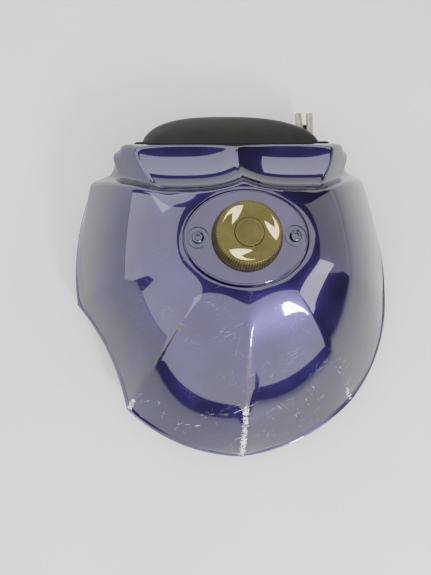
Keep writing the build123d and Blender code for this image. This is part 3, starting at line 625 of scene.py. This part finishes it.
@dataclass
class PressedShell:
    """The fluted upper pressing, with its scoops, its plate recess and its wear."""

    wall: float = 1.5
    seam_z: float = 40.0
    top_z: float = 157.0
    recess_z: float = 154.0
    lip: float = 2.5
    lip_t: float = 1.2
    land: Tuple[float, float] = (57.0, 45.5)
    recess: Tuple[float, float] = (55.0, 43.5)
    hole_r: float = 24.0
    rear_wall_y: float = 120.0
    rear_edge: float = 3.0
    nose: Tuple[float, float] = (0.0, -206.0)
    cheek_y: float = -153.0
    flank: Tuple[float, float] = (170.0, -41.0)
    shoulder_y: float = 91.0
    notch: Tuple[float, float] = (132.0, 100.0)
    rear: Tuple[float, float] = (118.0, 121.5)
    nose_bulge: float = 11.5
    flank_bulge: float = 8.0
    rear_bulge: float = 4.0
    right_side: Tuple[float, float, float] = (123.0, 11.0, 150.0)
    left_side: Tuple[float, float, float] = (118.0, -8.0, 155.0)
    scoop_centre: Point = (53.0, 73.0, 129.5)
    scoop_half_width: float = 49.0
    scoop_half_length: float = 39.0
    scoop_depth: float = 11.0
    scoop_tilt: float = 40.0
    scoop_squareness: float = 2.6
    scoop_rim: float = 2.6
    fade_z: float = 143.0
    fade_passes: int = 260
    rows: int = 110
    inner_rows: int = 24
    inner_start: float = 0.93
    row_crowding: float = 1.5
    seam_gap: float = 3.0
    spacing: float = 1.9
    crease_reach: float = 16.0
    crease_passes: int = 14
    recess_floor: Tuple[float, float] = (40.0, 34.0)
    lip_behind: float = 0.02
    meridians: List[Meridian] = field(default_factory=list)

    def __post_init__(self) -> None:
        """Lay out the meridians of both sides, which differ at the cheek and shoulder."""
        left = [
            Meridian(180 - m.angle, (-m.seam[0], m.seam[1]), m.foot, m.bend, m.crown, m.crease)
            for m in reversed(self.side_lines(*self.left_side))
        ]
        nose_line = Meridian(-90, self.nose, 46, 1.45, 1.25, 1.0)
        rear_line = Meridian(90, (0.0, self.rear[1]), 88, 1.50, 1.15)
        self.meridians = [nose_line] + self.side_lines(*self.right_side) + [rear_line] + left

    def side_lines(self, cheek_x: float, cheek_bulge: float, shoulder_x: float) -> List[Meridian]:
        """The lines of one side, drawn on the right.

        Args:
            cheek_x: half width at the cheek.
            cheek_bulge: how far the outline bows out behind the cheek.
            shoulder_x: half width at the rear shoulder.

        Returns:
            The lines from the nose round to the rear.
        """
        cheek, shoulder = (cheek_x, self.cheek_y), (shoulder_x, self.shoulder_y)
        return [
            Meridian(-72, bowed(self.nose, cheek, self.nose_bulge), 42, 1.36),
            Meridian(-54, cheek, 40, 1.60, 1.0, 1.0),
            Meridian(-40, bowed(cheek, self.flank, cheek_bulge), 42, 1.55),
            Meridian(-26, self.flank, 42, 1.85, 1.0, 0.9),
            Meridian(5, bowed(self.flank, shoulder, self.flank_bulge), 46, 1.75),
            Meridian(36, shoulder, 58, 1.75, 1.0, 0.45),
            Meridian(45, self.notch, 58, 1.35, 1.0, 0.6),
            Meridian(53, bowed(self.notch, self.rear, self.rear_bulge), 76, 1.40),
            Meridian(62, self.rear, 88, 1.50, 1.15, 0.8),
        ]

    @property
    def spans(self) -> List[Tuple[int, ...]]:
        """Meridian numbers of each of the outline's pieces."""
        half = [(0, 1, 2), (2, 3, 4), (4, 5, 6), (6, 7), (7, 8, 9)]
        total = len(self.meridians)
        other = [tuple((total - index) % total for index in reversed(span)) for span in reversed(half)]
        return half + [(9, 10, 11)] + other

    def samples(self) -> List[Tuple[Tuple[int, ...], Tuple[float, ...], float]]:
        """Where each column of the mesh runs.

        Returns:
            For each column its meridians, their shares, and how much the crease there is rounded.
        """
        columns = []
        for span in self.spans:
            ends = [np.array(self.meridians[index].seam) for index in span]
            length = sum(np.linalg.norm(b - a) for a, b in zip(ends, ends[1:]))
            count = max(4, int(length / self.spacing))
            for step in range(count):
                w = step / count
                if len(span) == 2:
                    shares = (1 - w, w)
                else:
                    shares = (2 * (w - 0.5) * (w - 1), -4 * w * (w - 1), 2 * w * (w - 0.5))
                near = w * length if w < 0.5 else (1 - w) * length
                end = self.meridians[span[0] if w < 0.5 else span[-1]]
                columns.append((span, shares, end.crease * math.exp(-((near / self.crease_reach) ** 2))))
        return columns

    def ring(self, columns: Sequence, z: float) -> np.ndarray:
        """The pressing's outline at height z.

        Args:
            columns: what samples() gave.
            z: the height.

        Returns:
            (x, y) of each column.
        """
        points = []
        for m in self.meridians:
            rise = min(max((z - m.foot) / (self.top_z - m.foot), 0.0), 1.0)
            reach = (1 - rise ** m.crown) ** (1 / m.bend)
            turn = math.radians(m.angle)
            top = np.array([self.land[0] * math.cos(turn), self.land[1] * math.sin(turn)])
            points.append(top + (np.array(m.seam) - top) * reach)
        return np.array([
            sum(share * points[index] for index, share in zip(span, shares)) for span, shares, _ in columns
        ])

    def scooped(self, x: np.ndarray, y: np.ndarray, z: np.ndarray, drop: float = 0.0) -> np.ndarray:
        """Heights with the two scoops pressed in.

        Args:
            x: places across.
            y: places along.
            z: heights before.
            drop: how far below the outer surface this one lies.

        Returns:
            The heights after.
        """
        radius = (self.scoop_half_length ** 2 + self.scoop_depth ** 2) / (2 * self.scoop_depth)
        lift = radius - self.scoop_depth
        half = self.scoop_half_width / math.sqrt(1 - (lift / radius) ** 2)
        tilt = math.radians(self.scoop_tilt)
        cx, cy, cz = self.scoop_centre
        cy, cz = cy + lift * math.sin(tilt), cz + lift * math.cos(tilt)
        rim = self.scoop_rim
        for side in (-1, 1):
            inside = 1 - np.abs((x - side * cx) / half) ** self.scoop_squareness - ((y - cy) / radius) ** 2
            floor = np.where(inside > 0, cz - radius * np.sqrt(np.clip(inside, 0, None)) - drop, 1e3)
            blend = np.clip(0.5 + (z - floor) / (2 * rim), 0, 1)
            lower = z * (1 - blend) + floor * blend - rim * blend * (1 - blend)
            z = np.where(inside > 0, lower, z)
        return z

    def rounded_ring(self, ring: np.ndarray, columns: Sequence) -> np.ndarray:
        """Round the creases of one ring by averaging along it.

        Args:
            ring: the outline.
            columns: what samples() gave.

        Returns:
            The outline with its creases rounded.
        """
        weight = 0.5 * np.array([crease for _, _, crease in columns])[:, None]
        for _ in range(self.crease_passes):
            middle = (np.roll(ring, 1, 0) + np.roll(ring, -1, 0)) / 2
            ring = ring + weight * (middle - ring)
        return ring

    def faded(self, ring: np.ndarray, z: float) -> np.ndarray:
        """A ring whose creases fade out as it rises to the land.

        Args:
            ring: the outline.
            z: its height.

        Returns:
            The outline, averaged along itself near the top.
        """
        share = min(max((z - self.fade_z) / (self.top_z - self.fade_z), 0.0), 1.0) ** 0.7
        soft = ring
        for _ in range(self.fade_passes if share else 0):
            soft = (np.roll(soft, 1, 0) + np.roll(soft, -1, 0) + 2 * soft) / 4
        return ring + (soft - ring) * share

    def offset_ring(self, ring: np.ndarray, distance: float) -> np.ndarray:
        """A ring moved outwards, square to itself.

        Args:
            ring: the outline.
            distance: how far it moves.

        Returns:
            The moved outline.
        """
        along = np.roll(ring, -1, 0) - np.roll(ring, 1, 0)
        out = np.stack([along[:, 1], -along[:, 0]], 1)
        return ring + out / np.linalg.norm(out, axis=1)[:, None] * distance

    def seam_ring(self, columns: Sequence) -> np.ndarray:
        """The outline at the seam, cut flat at the rear wall."""
        return self.flat_rear(self.rounded_ring(self.ring(columns, self.seam_z), columns))

    def flat_rear(self, ring: np.ndarray, wall: float = 0.0) -> np.ndarray:
        """A ring with everything behind the rear wall moved onto it, its edge rounded.

        Args:
            ring: the outline.
            wall: how far inside the outer face the flat lies.

        Returns:
            The outline, flat at the rear.
        """
        ring = ring.copy()
        limit, soft = self.rear_wall_y - wall, self.rear_edge
        share = np.clip(0.5 + (limit - ring[:, 1]) / (2 * soft), 0, 1)
        ring[:, 1] = limit + (ring[:, 1] - limit) * share - soft * share * (1 - share)
        return ring

    def oval_ring(self, half: Tuple[float, float], columns: Sequence) -> np.ndarray:
        """An oval with one point for each column.

        Args:
            half: its half width and half length.
            columns: what samples() gave, whose directions the points keep.

        Returns:
            (x, y) of each point.
        """
        top = self.ring(columns, self.top_z)
        turn = np.arctan2(top[:, 1] / self.land[1], top[:, 0] / self.land[0])
        return np.stack([half[0] * np.cos(turn), half[1] * np.sin(turn)], 1)

    def level(self, share: float) -> float:
        """Height of a row, from 0 just above the seam to 1 at the land."""
        return self.top_z - (self.top_z - self.seam_z - self.seam_gap) * (1 - share) ** self.row_crowding

    def build(self) -> bpy.types.Object:
        """Make the shell as one closed skin.

        Returns:
            The shell piece.
        """
        columns = self.samples()
        count = len(columns)

        def flat(ring: np.ndarray, z: float) -> np.ndarray:
            """Points of a ring at one height."""
            return np.column_stack([ring, np.full(count, z)])

        seam = self.seam_ring(columns)
        lip_top = self.seam_z + self.lip_t
        rings = [flat(seam, self.seam_z)]
        for out, z in (
            (self.lip, self.seam_z), (self.lip + 0.2, self.seam_z + 0.4), (self.lip, lip_top - 0.2),
            (self.lip - 0.4, lip_top), (0.7, lip_top + 0.1), (0.1, lip_top + 0.8),
        ):
            rings.append(flat(self.flat_rear(self.offset_ring(seam, out), -self.lip_behind), z))
        for share in np.linspace(0, 1, self.rows):
            z = self.level(share)
            ring = self.flat_rear(self.faded(self.rounded_ring(self.ring(columns, z), columns), z))
            height = self.scooped(ring[:, 0], ring[:, 1], np.full(count, z))
            rings.append(np.column_stack([ring, height]))
        outside = len(rings)
        inner_land = (self.recess[0] + 0.5, self.recess[1] + 0.5)
        mid_land = ((self.land[0] + inner_land[0]) / 2, (self.land[1] + inner_land[1]) / 2)
        hole, floor_z = (self.hole_r, self.hole_r), self.recess_z - self.wall
        for half, z in (
            (mid_land, self.top_z), (inner_land, self.top_z), (self.recess, self.top_z - 0.5),
            (self.recess, self.recess_z), (self.recess_floor, self.recess_z), (hole, self.recess_z),
            (hole, floor_z), ((self.land[0] + 0.2, self.land[1] + 0.2), floor_z),
        ):
            rings.append(flat(self.oval_ring(half, columns), z))
        for share in np.linspace(self.inner_start, 0, self.inner_rows):
            z = self.level(share)
            ring = self.offset_ring(self.rounded_ring(self.ring(columns, z), columns), -self.wall)
            ring = self.flat_rear(ring, self.wall)
            under = np.full(count, min(z - self.wall, floor_z))
            rings.append(np.column_stack([ring, self.scooped(ring[:, 0], ring[:, 1], under, self.wall)]))
        rings.append(flat(self.flat_rear(self.offset_ring(seam, -self.wall), self.wall), self.seam_z))
        verts = np.concatenate(rings)
        faces = wrap_faces(len(rings), count, True)
        piece = make_piece("fluted_shell", verts, faces, "worn_lacquer", 50)
        self.mark_wear(piece, verts, outside * count)
        finish_piece(piece, Body.TANK, "blue_paint", "upper_shell")
        return piece

    def mark_wear(self, piece: bpy.types.Object, verts: np.ndarray, outside: int) -> None:
        """Store where the lacquer is rubbed, chipped and scratched.

        Args:
            piece: the shell.
            verts: its points in millimetres.
            outside: how many of them are on the outer skin.
        """
        x, y = verts[:, 0], verts[:, 1]
        rub, chip, scuff = (np.zeros(len(verts)) for _ in range(3))

        def near(line: Sequence[float], width: float) -> np.ndarray:
            """Closeness, 0 to 1, to a line on the plan, (x0, y0, x1, y1)."""
            x0, y0, x1, y1 = line
            dx, dy = x1 - x0, y1 - y0
            along = np.clip(((x - x0) * dx + (y - y0) * dy) / (dx * dx + dy * dy), 0, 1)
            gap = np.hypot(x - x0 - along * dx, y - y0 - along * dy)
            return np.exp(-((gap / width) ** 2))

        for line, width, strength in (
            ((0, -95, 0, -150), 3.6, 0.66), ((-60, -74, -85, -107), 5, 0.60), ((72, -88, 92, -112), 3.5, 0.4),
        ):
            rub = np.maximum(rub, near(line, width) * strength)
        for line, width, strength in (
            ((0, -150, 0, -206), 5.5, 0.95), ((0, -110, 0, -150), 3, 0.45),
            ((-112, -145, -117, -152), 6, 0.95), ((115, -142, 122, -152), 5, 0.9),
            ((98, -121, 114, -142), 5, 0.62), ((160, -40, 171, -42), 4, 0.7), ((-146, 84, -142, 85), 4, 0.8),
            ((-98, -41, -86, -44), 2.5, 0.4),
        ):
            chip = np.maximum(chip, near(line, width) * strength)
        for line, width, strength in (
            ((-95, -150, -30, -172), 17, 1.0), ((25, -170, 90, -150), 17, 1.0), ((66, -125, 66, -150), 12, 0.8),
            ((0, -140, 0, -206), 12, 1.0), ((98, -110, 112, -150), 10, 1.0), ((150, -45, 170, -40), 9, 0.7),
            ((-60, -60, 60, -130), 50, 0.25),
        ):
            scuff = np.maximum(scuff, near(line, width) * strength)
        for name, values in (("rub", rub), ("chip", chip), ("scuff", scuff)):
            values[outside:] = 0
            layer = piece.data.attributes.new(name, "FLOAT", "POINT")
            layer.data.foreach_set("value", values)


# --------------------------------------------------------------------------
# Filler cap
# --------------------------------------------------------------------------
@dataclass
class FillerCap:
    """The knurled cap, its inlaid arrows and its button."""

    ridges: int = 78
    per_ridge: int = 10
    ridge_depth: float = 0.75
    base_r: float = 31.0
    base_z: float = 160.5
    shoulder_r: float = 28.2
    shoulder_z: float = 173.6
    top_r: float = 25.9
    top_z: float = 176.0
    ceiling_z: float = 168.0
    bore_r: float = 19.0
    ring_r: float = 27.2
    ceiling_ring_z: float = 161.0
    button_r: float = 12.2
    button_well_r: float = 12.5
    button_well_z: float = 170.9
    button_top_z: float = 176.8
    button_under_z: float = 173.6
    stem_r: float = 3.0
    stem_hole_r: float = 6.4
    stem_bottom_z: float = 157.5
    arrows: int = 3
    first_arrow: float = 101.0
    arrow_r: float = 25.6
    inlay_depth: float = 0.5
    inlay_proud: float = 0.12
    inlay_edge: float = 0.18

    def build(self) -> None:
        """Make the cap, the arrows and the button."""
        self.build_body()
        self.build_arrows()
        self.build_button()

    def profile(self) -> List[Tuple[float, float, float]]:
        """Outside and inside of the cap.

        Returns:
            (radius, height, share of the knurl) from the bottom edge round to the bore.
        """
        b, s, top, well = self.base_z, self.shoulder_z, self.top_z, self.button_well_r
        foot = b + 1.5
        slope = (self.base_r - self.shoulder_r) / (s - foot)
        points = [(self.base_r - 1.2, b, 0.0), (self.base_r - 0.35, b + 0.15, 0.3), (self.base_r, b + 0.8, 1.0)]
        for z in np.linspace(foot, s - 0.5, 9):
            points.append((self.base_r - slope * (z - foot), z, 1.0))
        points += [(self.shoulder_r, s, 1.0), (self.shoulder_r - 0.8, s + 1.25, 1.0)]
        points += [(self.shoulder_r - 1.5, s + 1.95, 0.9)]
        smooth = [
            (self.top_r + 0.1, top - 0.04), (self.top_r - 0.2, top), (self.top_r - 0.6, top - 0.14),
            (self.top_r - 1.0, top - 0.15), (well + 1.2, top - 0.15), (well + 0.5, top),
            (well + 0.1, top - 0.15), (well, top - 0.5), (well, self.button_well_z),
            (self.stem_hole_r, self.button_well_z), (self.stem_hole_r, self.ceiling_z),
            (self.bore_r, self.ceiling_z), (self.bore_r, self.ceiling_ring_z),
            (self.ring_r, self.ceiling_ring_z), (self.ring_r, b),
        ]
        return points + [(self.top_r + 0.25, top - 0.12, 0.2)] + [(r, z, 0.0) for r, z in smooth]

    def build_body(self) -> None:
        """Make the knurled body."""
        count = self.ridges * self.per_ridge
        turn = np.linspace(0, 2 * math.pi, count, endpoint=False)
        wave = np.abs(np.sin(turn * self.ridges / 2)) ** 0.7
        rings = []
        for radius, z, share in self.profile():
            r = radius - self.ridge_depth * share * (1 - wave)
            rings.append(np.stack([r * np.cos(turn), r * np.sin(turn), np.full(count, z)], 1))
        faces = wrap_faces(len(rings), count, True)
        piece = make_piece("knurled_cap", np.concatenate(rings), faces, "gold_anodised", 40)
        finish_piece(piece, Body.CAP, "gold_anodised", "cap_body")

    def arrow_outline(self) -> List[Tuple[float, float]]:
        """One arrow head on the cap's top, pointing clockwise.

        Returns:
            Its outline in millimetres, anticlockwise.
        """
        def polar(share: float, angle: float) -> np.ndarray:
            """A point at a share of the radius, so many degrees on from the tip."""
            turn, radius = math.radians(self.first_arrow + angle), self.arrow_r * share
            return np.array([radius * math.cos(turn), radius * math.sin(turn)])

        legs = [
            [(0.90, 0), (0.955, 14), (0.955, 32), (0.92, 58)],
            [(0.92, 58), (0.895, 44), (0.875, 36), (0.84, 27)],
            [(0.84, 27), (0.76, 34), (0.685, 43), (0.62, 55)],
            [(0.62, 55), (0.585, 36), (0.66, 16), (0.90, 0)],
        ]
        outline: List[Tuple[float, float]] = []
        for a, b, c, d in legs:
            p = [polar(*q) for q in (a, b, c, d)]
            for t in np.linspace(0, 1, 12, endpoint=False):
                # a cubic through all four points at thirds
                w = (-(3 * t - 1) * (3 * t - 2) * (t - 1) / 2, 4.5 * t * (3 * t - 2) * (t - 1),
                     -4.5 * t * (3 * t - 1) * (t - 1), t * (3 * t - 1) * (3 * t - 2) / 2)
                outline.append(tuple(sum(k * q for k, q in zip(w, p))))
        return outline

    def build_arrows(self) -> None:
        """Make the three inlaid arrows with softened edges."""
        base = np.array(self.arrow_outline())
        count = len(base)
        verts, faces = [], []
        bottom, top = self.top_z - self.inlay_depth, self.top_z + self.inlay_proud
        inward = self.inward(base) * self.inlay_edge
        levels = ((base, bottom), (base, top - 0.12), (base + inward * 0.4, top - 0.04), (base + inward, top))
        for turn in range(self.arrows):
            angle = 2 * math.pi * turn / self.arrows
            spin = np.array([[math.cos(angle), math.sin(angle)], [-math.sin(angle), math.cos(angle)]])
            start = len(verts)
            for plan, z in levels:
                verts += [(*point, z) for point in plan @ spin]
            faces += [tuple(start + corner for corner in face) for face in wrap_faces(len(levels), count)]
            faces.append(tuple(len(verts) - count + index for index in range(count)))
            faces.append(tuple(start + index for index in reversed(range(count))))
        piece = make_piece("arrow_inlays", np.array(verts), faces, "cream_inlay", 40)
        finish_piece(piece, Body.CAP, "cream_inlay", "cap_arrows")

    @staticmethod
    def inward(outline: np.ndarray) -> np.ndarray:
        """Unit steps into an anticlockwise outline."""
        along = np.roll(outline, -1, 0) - np.roll(outline, 1, 0)
        into = np.stack([-along[:, 1], along[:, 0]], 1)
        return into / np.linalg.norm(into, axis=1)[:, None]

    def build_button(self) -> None:
        """Make the central disc and its stem."""
        r, top, under = self.button_r, self.button_top_z, self.button_under_z
        stem, bottom, axis = self.stem_r, self.stem_bottom_z, 0.01
        profile = [(axis, bottom), (stem - 0.3, bottom), (stem, bottom + 0.3)]
        profile += [(stem, under), (r - 0.3, under), (r, under + 0.3), (r, top - 0.6)]
        profile += rounded((r, top), (r, top - 1), (r - 1, top), 0.55)
        profile += [(r - 1.5, top), (r - 1.9, top - 0.12), (r - 2.4, top - 0.12), (r - 2.8, top)]
        profile += [(4.0, top - 0.05), (axis, top - 0.05)]
        piece = lathe("push_button", profile, "gold_anodised", 96, 40)
        finish_piece(piece, Body.BUTTON, "gold_anodised", "cap_button")


# --------------------------------------------------------------------------
# Tail cover
# --------------------------------------------------------------------------
@dataclass
class TailCover:
    """The black domed cover behind the rear wall, hollow and open below."""

    wall_y: float = 120.0
    half_x: float = 100.0
    reach: float = 43.0
    bottom_z: float = 43.0
    top_z: float = 88.0
    wall: float = 2.5
    flange_x: float = 105.0
    flange_top_z: float = 91.0
    flange_t: float = 2.0
    flange_corner: float = 6.0
    flange_gap: float = 0.02
    left_fullness: float = 0.66
    right_fullness: float = 0.90
    rear_fullness: float = 0.85
    side_lean: float = 0.20
    skirt_share: float = 0.30
    columns: int = 81
    levels: int = 22

    def section(self, inset: float) -> List[Tuple[float, float]]:
        """Profile of the dome, as (share of the plan's reach, height).

        Args:
            inset: how far inside the outer skin, in millimetres.

        Returns:
            Points from the bottom edge up to the top at the wall.
        """
        height = self.top_z - self.bottom_z - inset
        points = []
        for t in np.linspace(0, math.pi / 2, self.levels):
            share = math.cos(t) ** 0.62
            rise = math.sin(t) ** 0.80
            points.append((share, self.bottom_z + height * (self.skirt_share + (1 - self.skirt_share) * rise)))
        return [(1.0, self.bottom_z)] + points

    def plan(self, share: float, inset: float) -> np.ndarray:
        """Plan of the dome at one height: half an oval with fuller sides.

        Args:
            share: 1 at the bottom edge and 0 at the crest.
            inset: how far inside the outer skin, in millimetres.

        Returns:
            (x, y) points from the right end round to the left.
        """
        turn = np.linspace(0, math.pi, self.columns)
        fullness = np.where(np.cos(turn) > 0, self.right_fullness, self.left_fullness)
        half = (self.half_x - inset) * (1 - self.side_lean + self.side_lean * share)
        x = np.sign(np.cos(turn)) * np.abs(np.cos(turn)) ** fullness * half
        y = np.abs(np.sin(turn)) ** self.rear_fullness * (self.reach - inset) * share
        return np.stack([x, self.wall_y + y], 1)

    def skin(self, inset: float) -> List[np.ndarray]:
        """Rings of the dome's outer or inner skin.

        Args:
            inset: how far inside the outer skin, in millimetres.

        Returns:
            The rings from the bottom edge up.
        """
        return [
            np.column_stack([self.plan(share, inset), np.full(self.columns, z)])
            for share, z in self.section(inset)
        ]

    def build(self) -> None:
        """Make the dome as one closed skin, and its flange."""
        rings = self.skin(0) + self.skin(self.wall)[::-1]
        rows, columns = len(rings), self.columns
        faces = []
        for row in range(rows):
            here, above = row * columns, (row + 1) % rows * columns
            for column in range(columns - 1):
                faces.append((here + column, here + column + 1, above + column + 1, above + column))
        piece = make_piece("tail_dome", np.concatenate(rings), faces, "black_plastic", 50)
        finish_piece(piece, Body.TANK, "black_plastic", "tail_section")
        self.build_flange()

    def build_flange(self) -> None:
        """Make the flat flange against the rear wall."""
        half, low, high, t = self.flange_x, self.bottom_z, self.flange_top_z, self.flange_t
        corners = [(-half, low), (half, low), (half, high), (-half, high)]
        outline: List[Tuple[float, float]] = []
        for index, corner in enumerate(corners):
            outline += rounded(corner, corners[index - 1], corners[(index + 1) % 4], self.flange_corner, 7)
        plan = np.array(outline)
        middle = plan.mean(0)
        verts = []
        for shrink, y in ((0.0, 0.0), (0.0, t - 0.5), (0.35, t)):
            step = (middle - plan) / np.linalg.norm(middle - plan, axis=1)[:, None] * shrink
            verts += [(x, self.wall_y + self.flange_gap + y, z) for x, z in plan + step]
        count = len(plan)
        faces = [tuple(reversed(face)) for face in wrap_faces(3, count)]
        faces.append(tuple(range(count)))
        faces.append(tuple(reversed(range(2 * count, 3 * count))))
        piece = make_piece("tail_flange", np.array(verts), faces, "black_plastic", 40)
        finish_piece(piece, Body.TANK, "black_plastic")


# --------------------------------------------------------------------------
# Pieces that keep their CAD shape
# --------------------------------------------------------------------------
@dataclass
class KeptPieces:
    """CAD nodes that keep their shape and get a finish."""

    sharp: float = 32.0
    bevel: float = 0.4
    bevel_angle: float = 40.0
    finishes: Dict[str, str] = field(default_factory=lambda: {
        "base_pan": "black_paint", "filler_plate": "plate_lacquer", "filler_neck": "zinc_steel",
        "plate_gasket": "black_rubber", "plate_screws": "screw_steel", "plate_washers": "screw_steel",
        "weld_nuts": "zinc_steel", "tail_studs": "zinc_steel", "tail_nuts": "zinc_steel",
        "front_tabs": "black_paint", "mount_grommets": "black_rubber", "mount_sleeves": "zinc_steel",
        "rear_bracket": "black_paint", "rear_nut": "zinc_steel", "tap_boss": "zinc_steel",
        "tap_gasket": "black_rubber", "tap_body": "tap_casting", "tap_screws": "zinc_steel",
        "fuel_spigot": "pale_brass", "vacuum_spigot": "pale_brass", "strainer": "strainer_mesh",
        "standpipe": "pale_brass", "cap_gasket": "black_rubber", "seal_plate": "zinc_steel",
        "cap_insert": "insert_alloy", "insert_screws": "screw_steel", "button_spring": "screw_steel",
        "vent_seal": "black_rubber", "button_clip": "screw_steel", "tap_lever": "tap_casting",
        "lever_screw": "screw_steel",
    })
    bevelled: Tuple[str, ...] = (
        "tap_body", "tap_lever", "rear_bracket", "front_tabs", "fuel_spigot", "vacuum_spigot",
    )

    def dress(self) -> None:
        """Give every kept node its finish, smooth shading and, where asked, soft edges."""
        for node, finish in self.finishes.items():
            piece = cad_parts[node]
            piece.data.materials.clear()
            piece.data.materials.append(material(finish))
            soften(piece.data, self.sharp)
            if node in self.bevelled:
                edge = piece.modifiers.new("soft_edges", "BEVEL")
                edge.width = self.bevel * MM
                edge.segments = 2
                edge.limit_method = "ANGLE"
                edge.angle_limit = math.radians(self.bevel_angle)
            LOG.info("%s keeps its shape, in %s", node, finish)


# --------------------------------------------------------------------------
# Stage
# --------------------------------------------------------------------------
@dataclass
class Stage:
    """Pale floor, soft studio light and the camera."""

    floor_size: float = 6.0
    floor_gap: float = 0.0002
    camera_place: Point = (-0.0532, -0.0967, 0.5261)
    camera_turn: Point = (8.37, -3.51, -2.0)
    lens: float = 27.5
    sensor: float = 36.0
    sky: Colour = (0.14, 0.14, 0.155)
    aim: Point = (0.0, 0.0, 0.1)

    def build(self) -> None:
        """Set up the floor, the lights and the camera."""
        self.floor()
        self.lights()
        self.camera()

    def floor(self) -> None:
        """A plain pale floor under the tank."""
        half = self.floor_size / 2
        mesh = bpy.data.meshes.new("studio_floor")
        corners = [(-half, -half, 0), (half, -half, 0), (half, half, 0), (-half, half, 0)]
        mesh.from_pydata(corners, [], [(0, 1, 2, 3)])
        mesh.materials.append(material("floor"))
        floor = bpy.data.objects.new("studio_floor", mesh)
        bpy.context.scene.collection.objects.link(floor)
        floor.location.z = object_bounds()[0][2] - self.floor_gap
        floor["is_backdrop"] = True

    def area(
        self, name: str, place: Point, aim: Point, size: Tuple[float, float], power: float, colour: Colour
    ) -> None:
        """Hang one rectangular soft light.

        Args:
            name: the light's name.
            place: where it hangs, in metres.
            aim: what it faces.
            size: its width and length.
            power: in watts.
            colour: its colour.
        """
        data = bpy.data.lights.new(name, "AREA")
        data.shape = "RECTANGLE"
        data.size, data.size_y = size
        data.energy = power
        data.color = colour
        light = bpy.data.objects.new(name, data)
        bpy.context.scene.collection.objects.link(light)
        light.location = Vector(place)
        light.rotation_euler = (Vector(aim) - Vector(place)).to_track_quat("-Z", "Y").to_euler()

    def lights(self) -> None:
        """Large softboxes round the tank, a small bright one and a weak sky."""
        world = bpy.data.worlds.new("studio_sky")
        world.use_nodes = True
        background = world.node_tree.nodes["Background"]
        background.inputs["Color"].default_value = (*self.sky, 1)
        background.inputs["Strength"].default_value = 1.0
        bpy.context.scene.world = world
        for name, place, size, power, colour in (
            ("left_softbox", (-1.3, 0.0, 1.0), (2.8, 2.4), 66, (0.96, 0.97, 1.0)),
            ("front_softbox", (0.05, -1.4, 1.0), (2.6, 1.9), 46, (0.93, 0.94, 1.0)),
            ("rear_softbox", (-0.3, 1.45, 0.7), (2.0, 1.0), 22, (0.95, 0.97, 1.0)),
            ("right_softbox", (1.5, 0.35, 0.6), (1.8, 1.6), 13, (1.0, 0.97, 0.88)),
            ("overhead_softbox", (0.3, 0.4, 1.7), (1.1, 1.1), 11, (1.0, 1.0, 1.0)),
            ("flute_softbox", (1.2, -0.42, 0.95), (0.7, 0.6), 9, (0.97, 0.98, 1.0)),
            ("key_softbox", (0.55, -0.96, 0.90), (0.10, 0.26), 18, (1.0, 1.0, 1.0)),
        ):
            self.area(name, place, self.aim, size, power, colour)

    def camera(self) -> None:
        """The camera, above the tank and a little towards its nose and left."""
        data = bpy.data.cameras.new("view_camera")
        data.lens = self.lens
        data.sensor_width = self.sensor
        data.clip_start = 0.01
        camera = bpy.data.objects.new("view_camera", data)
        camera.location = Vector(self.camera_place) + Vector((FILLER.x, FILLER.y, 0))
        camera.rotation_euler = Euler([math.radians(angle) for angle in self.camera_turn], "XYZ")
        bpy.context.scene.collection.objects.link(camera)
        bpy.context.scene.camera = camera


def main() -> None:
    """Build every piece, dress the kept ones and set the stage."""
    logging.basicConfig(level=logging.INFO, format="%(name)s: %(message)s")
    PressedShell().build()
    FillerCap().build()
    TailCover().build()
    KeptPieces().dress()
    Stage().build()


if __name__ == "__main__":
    main()
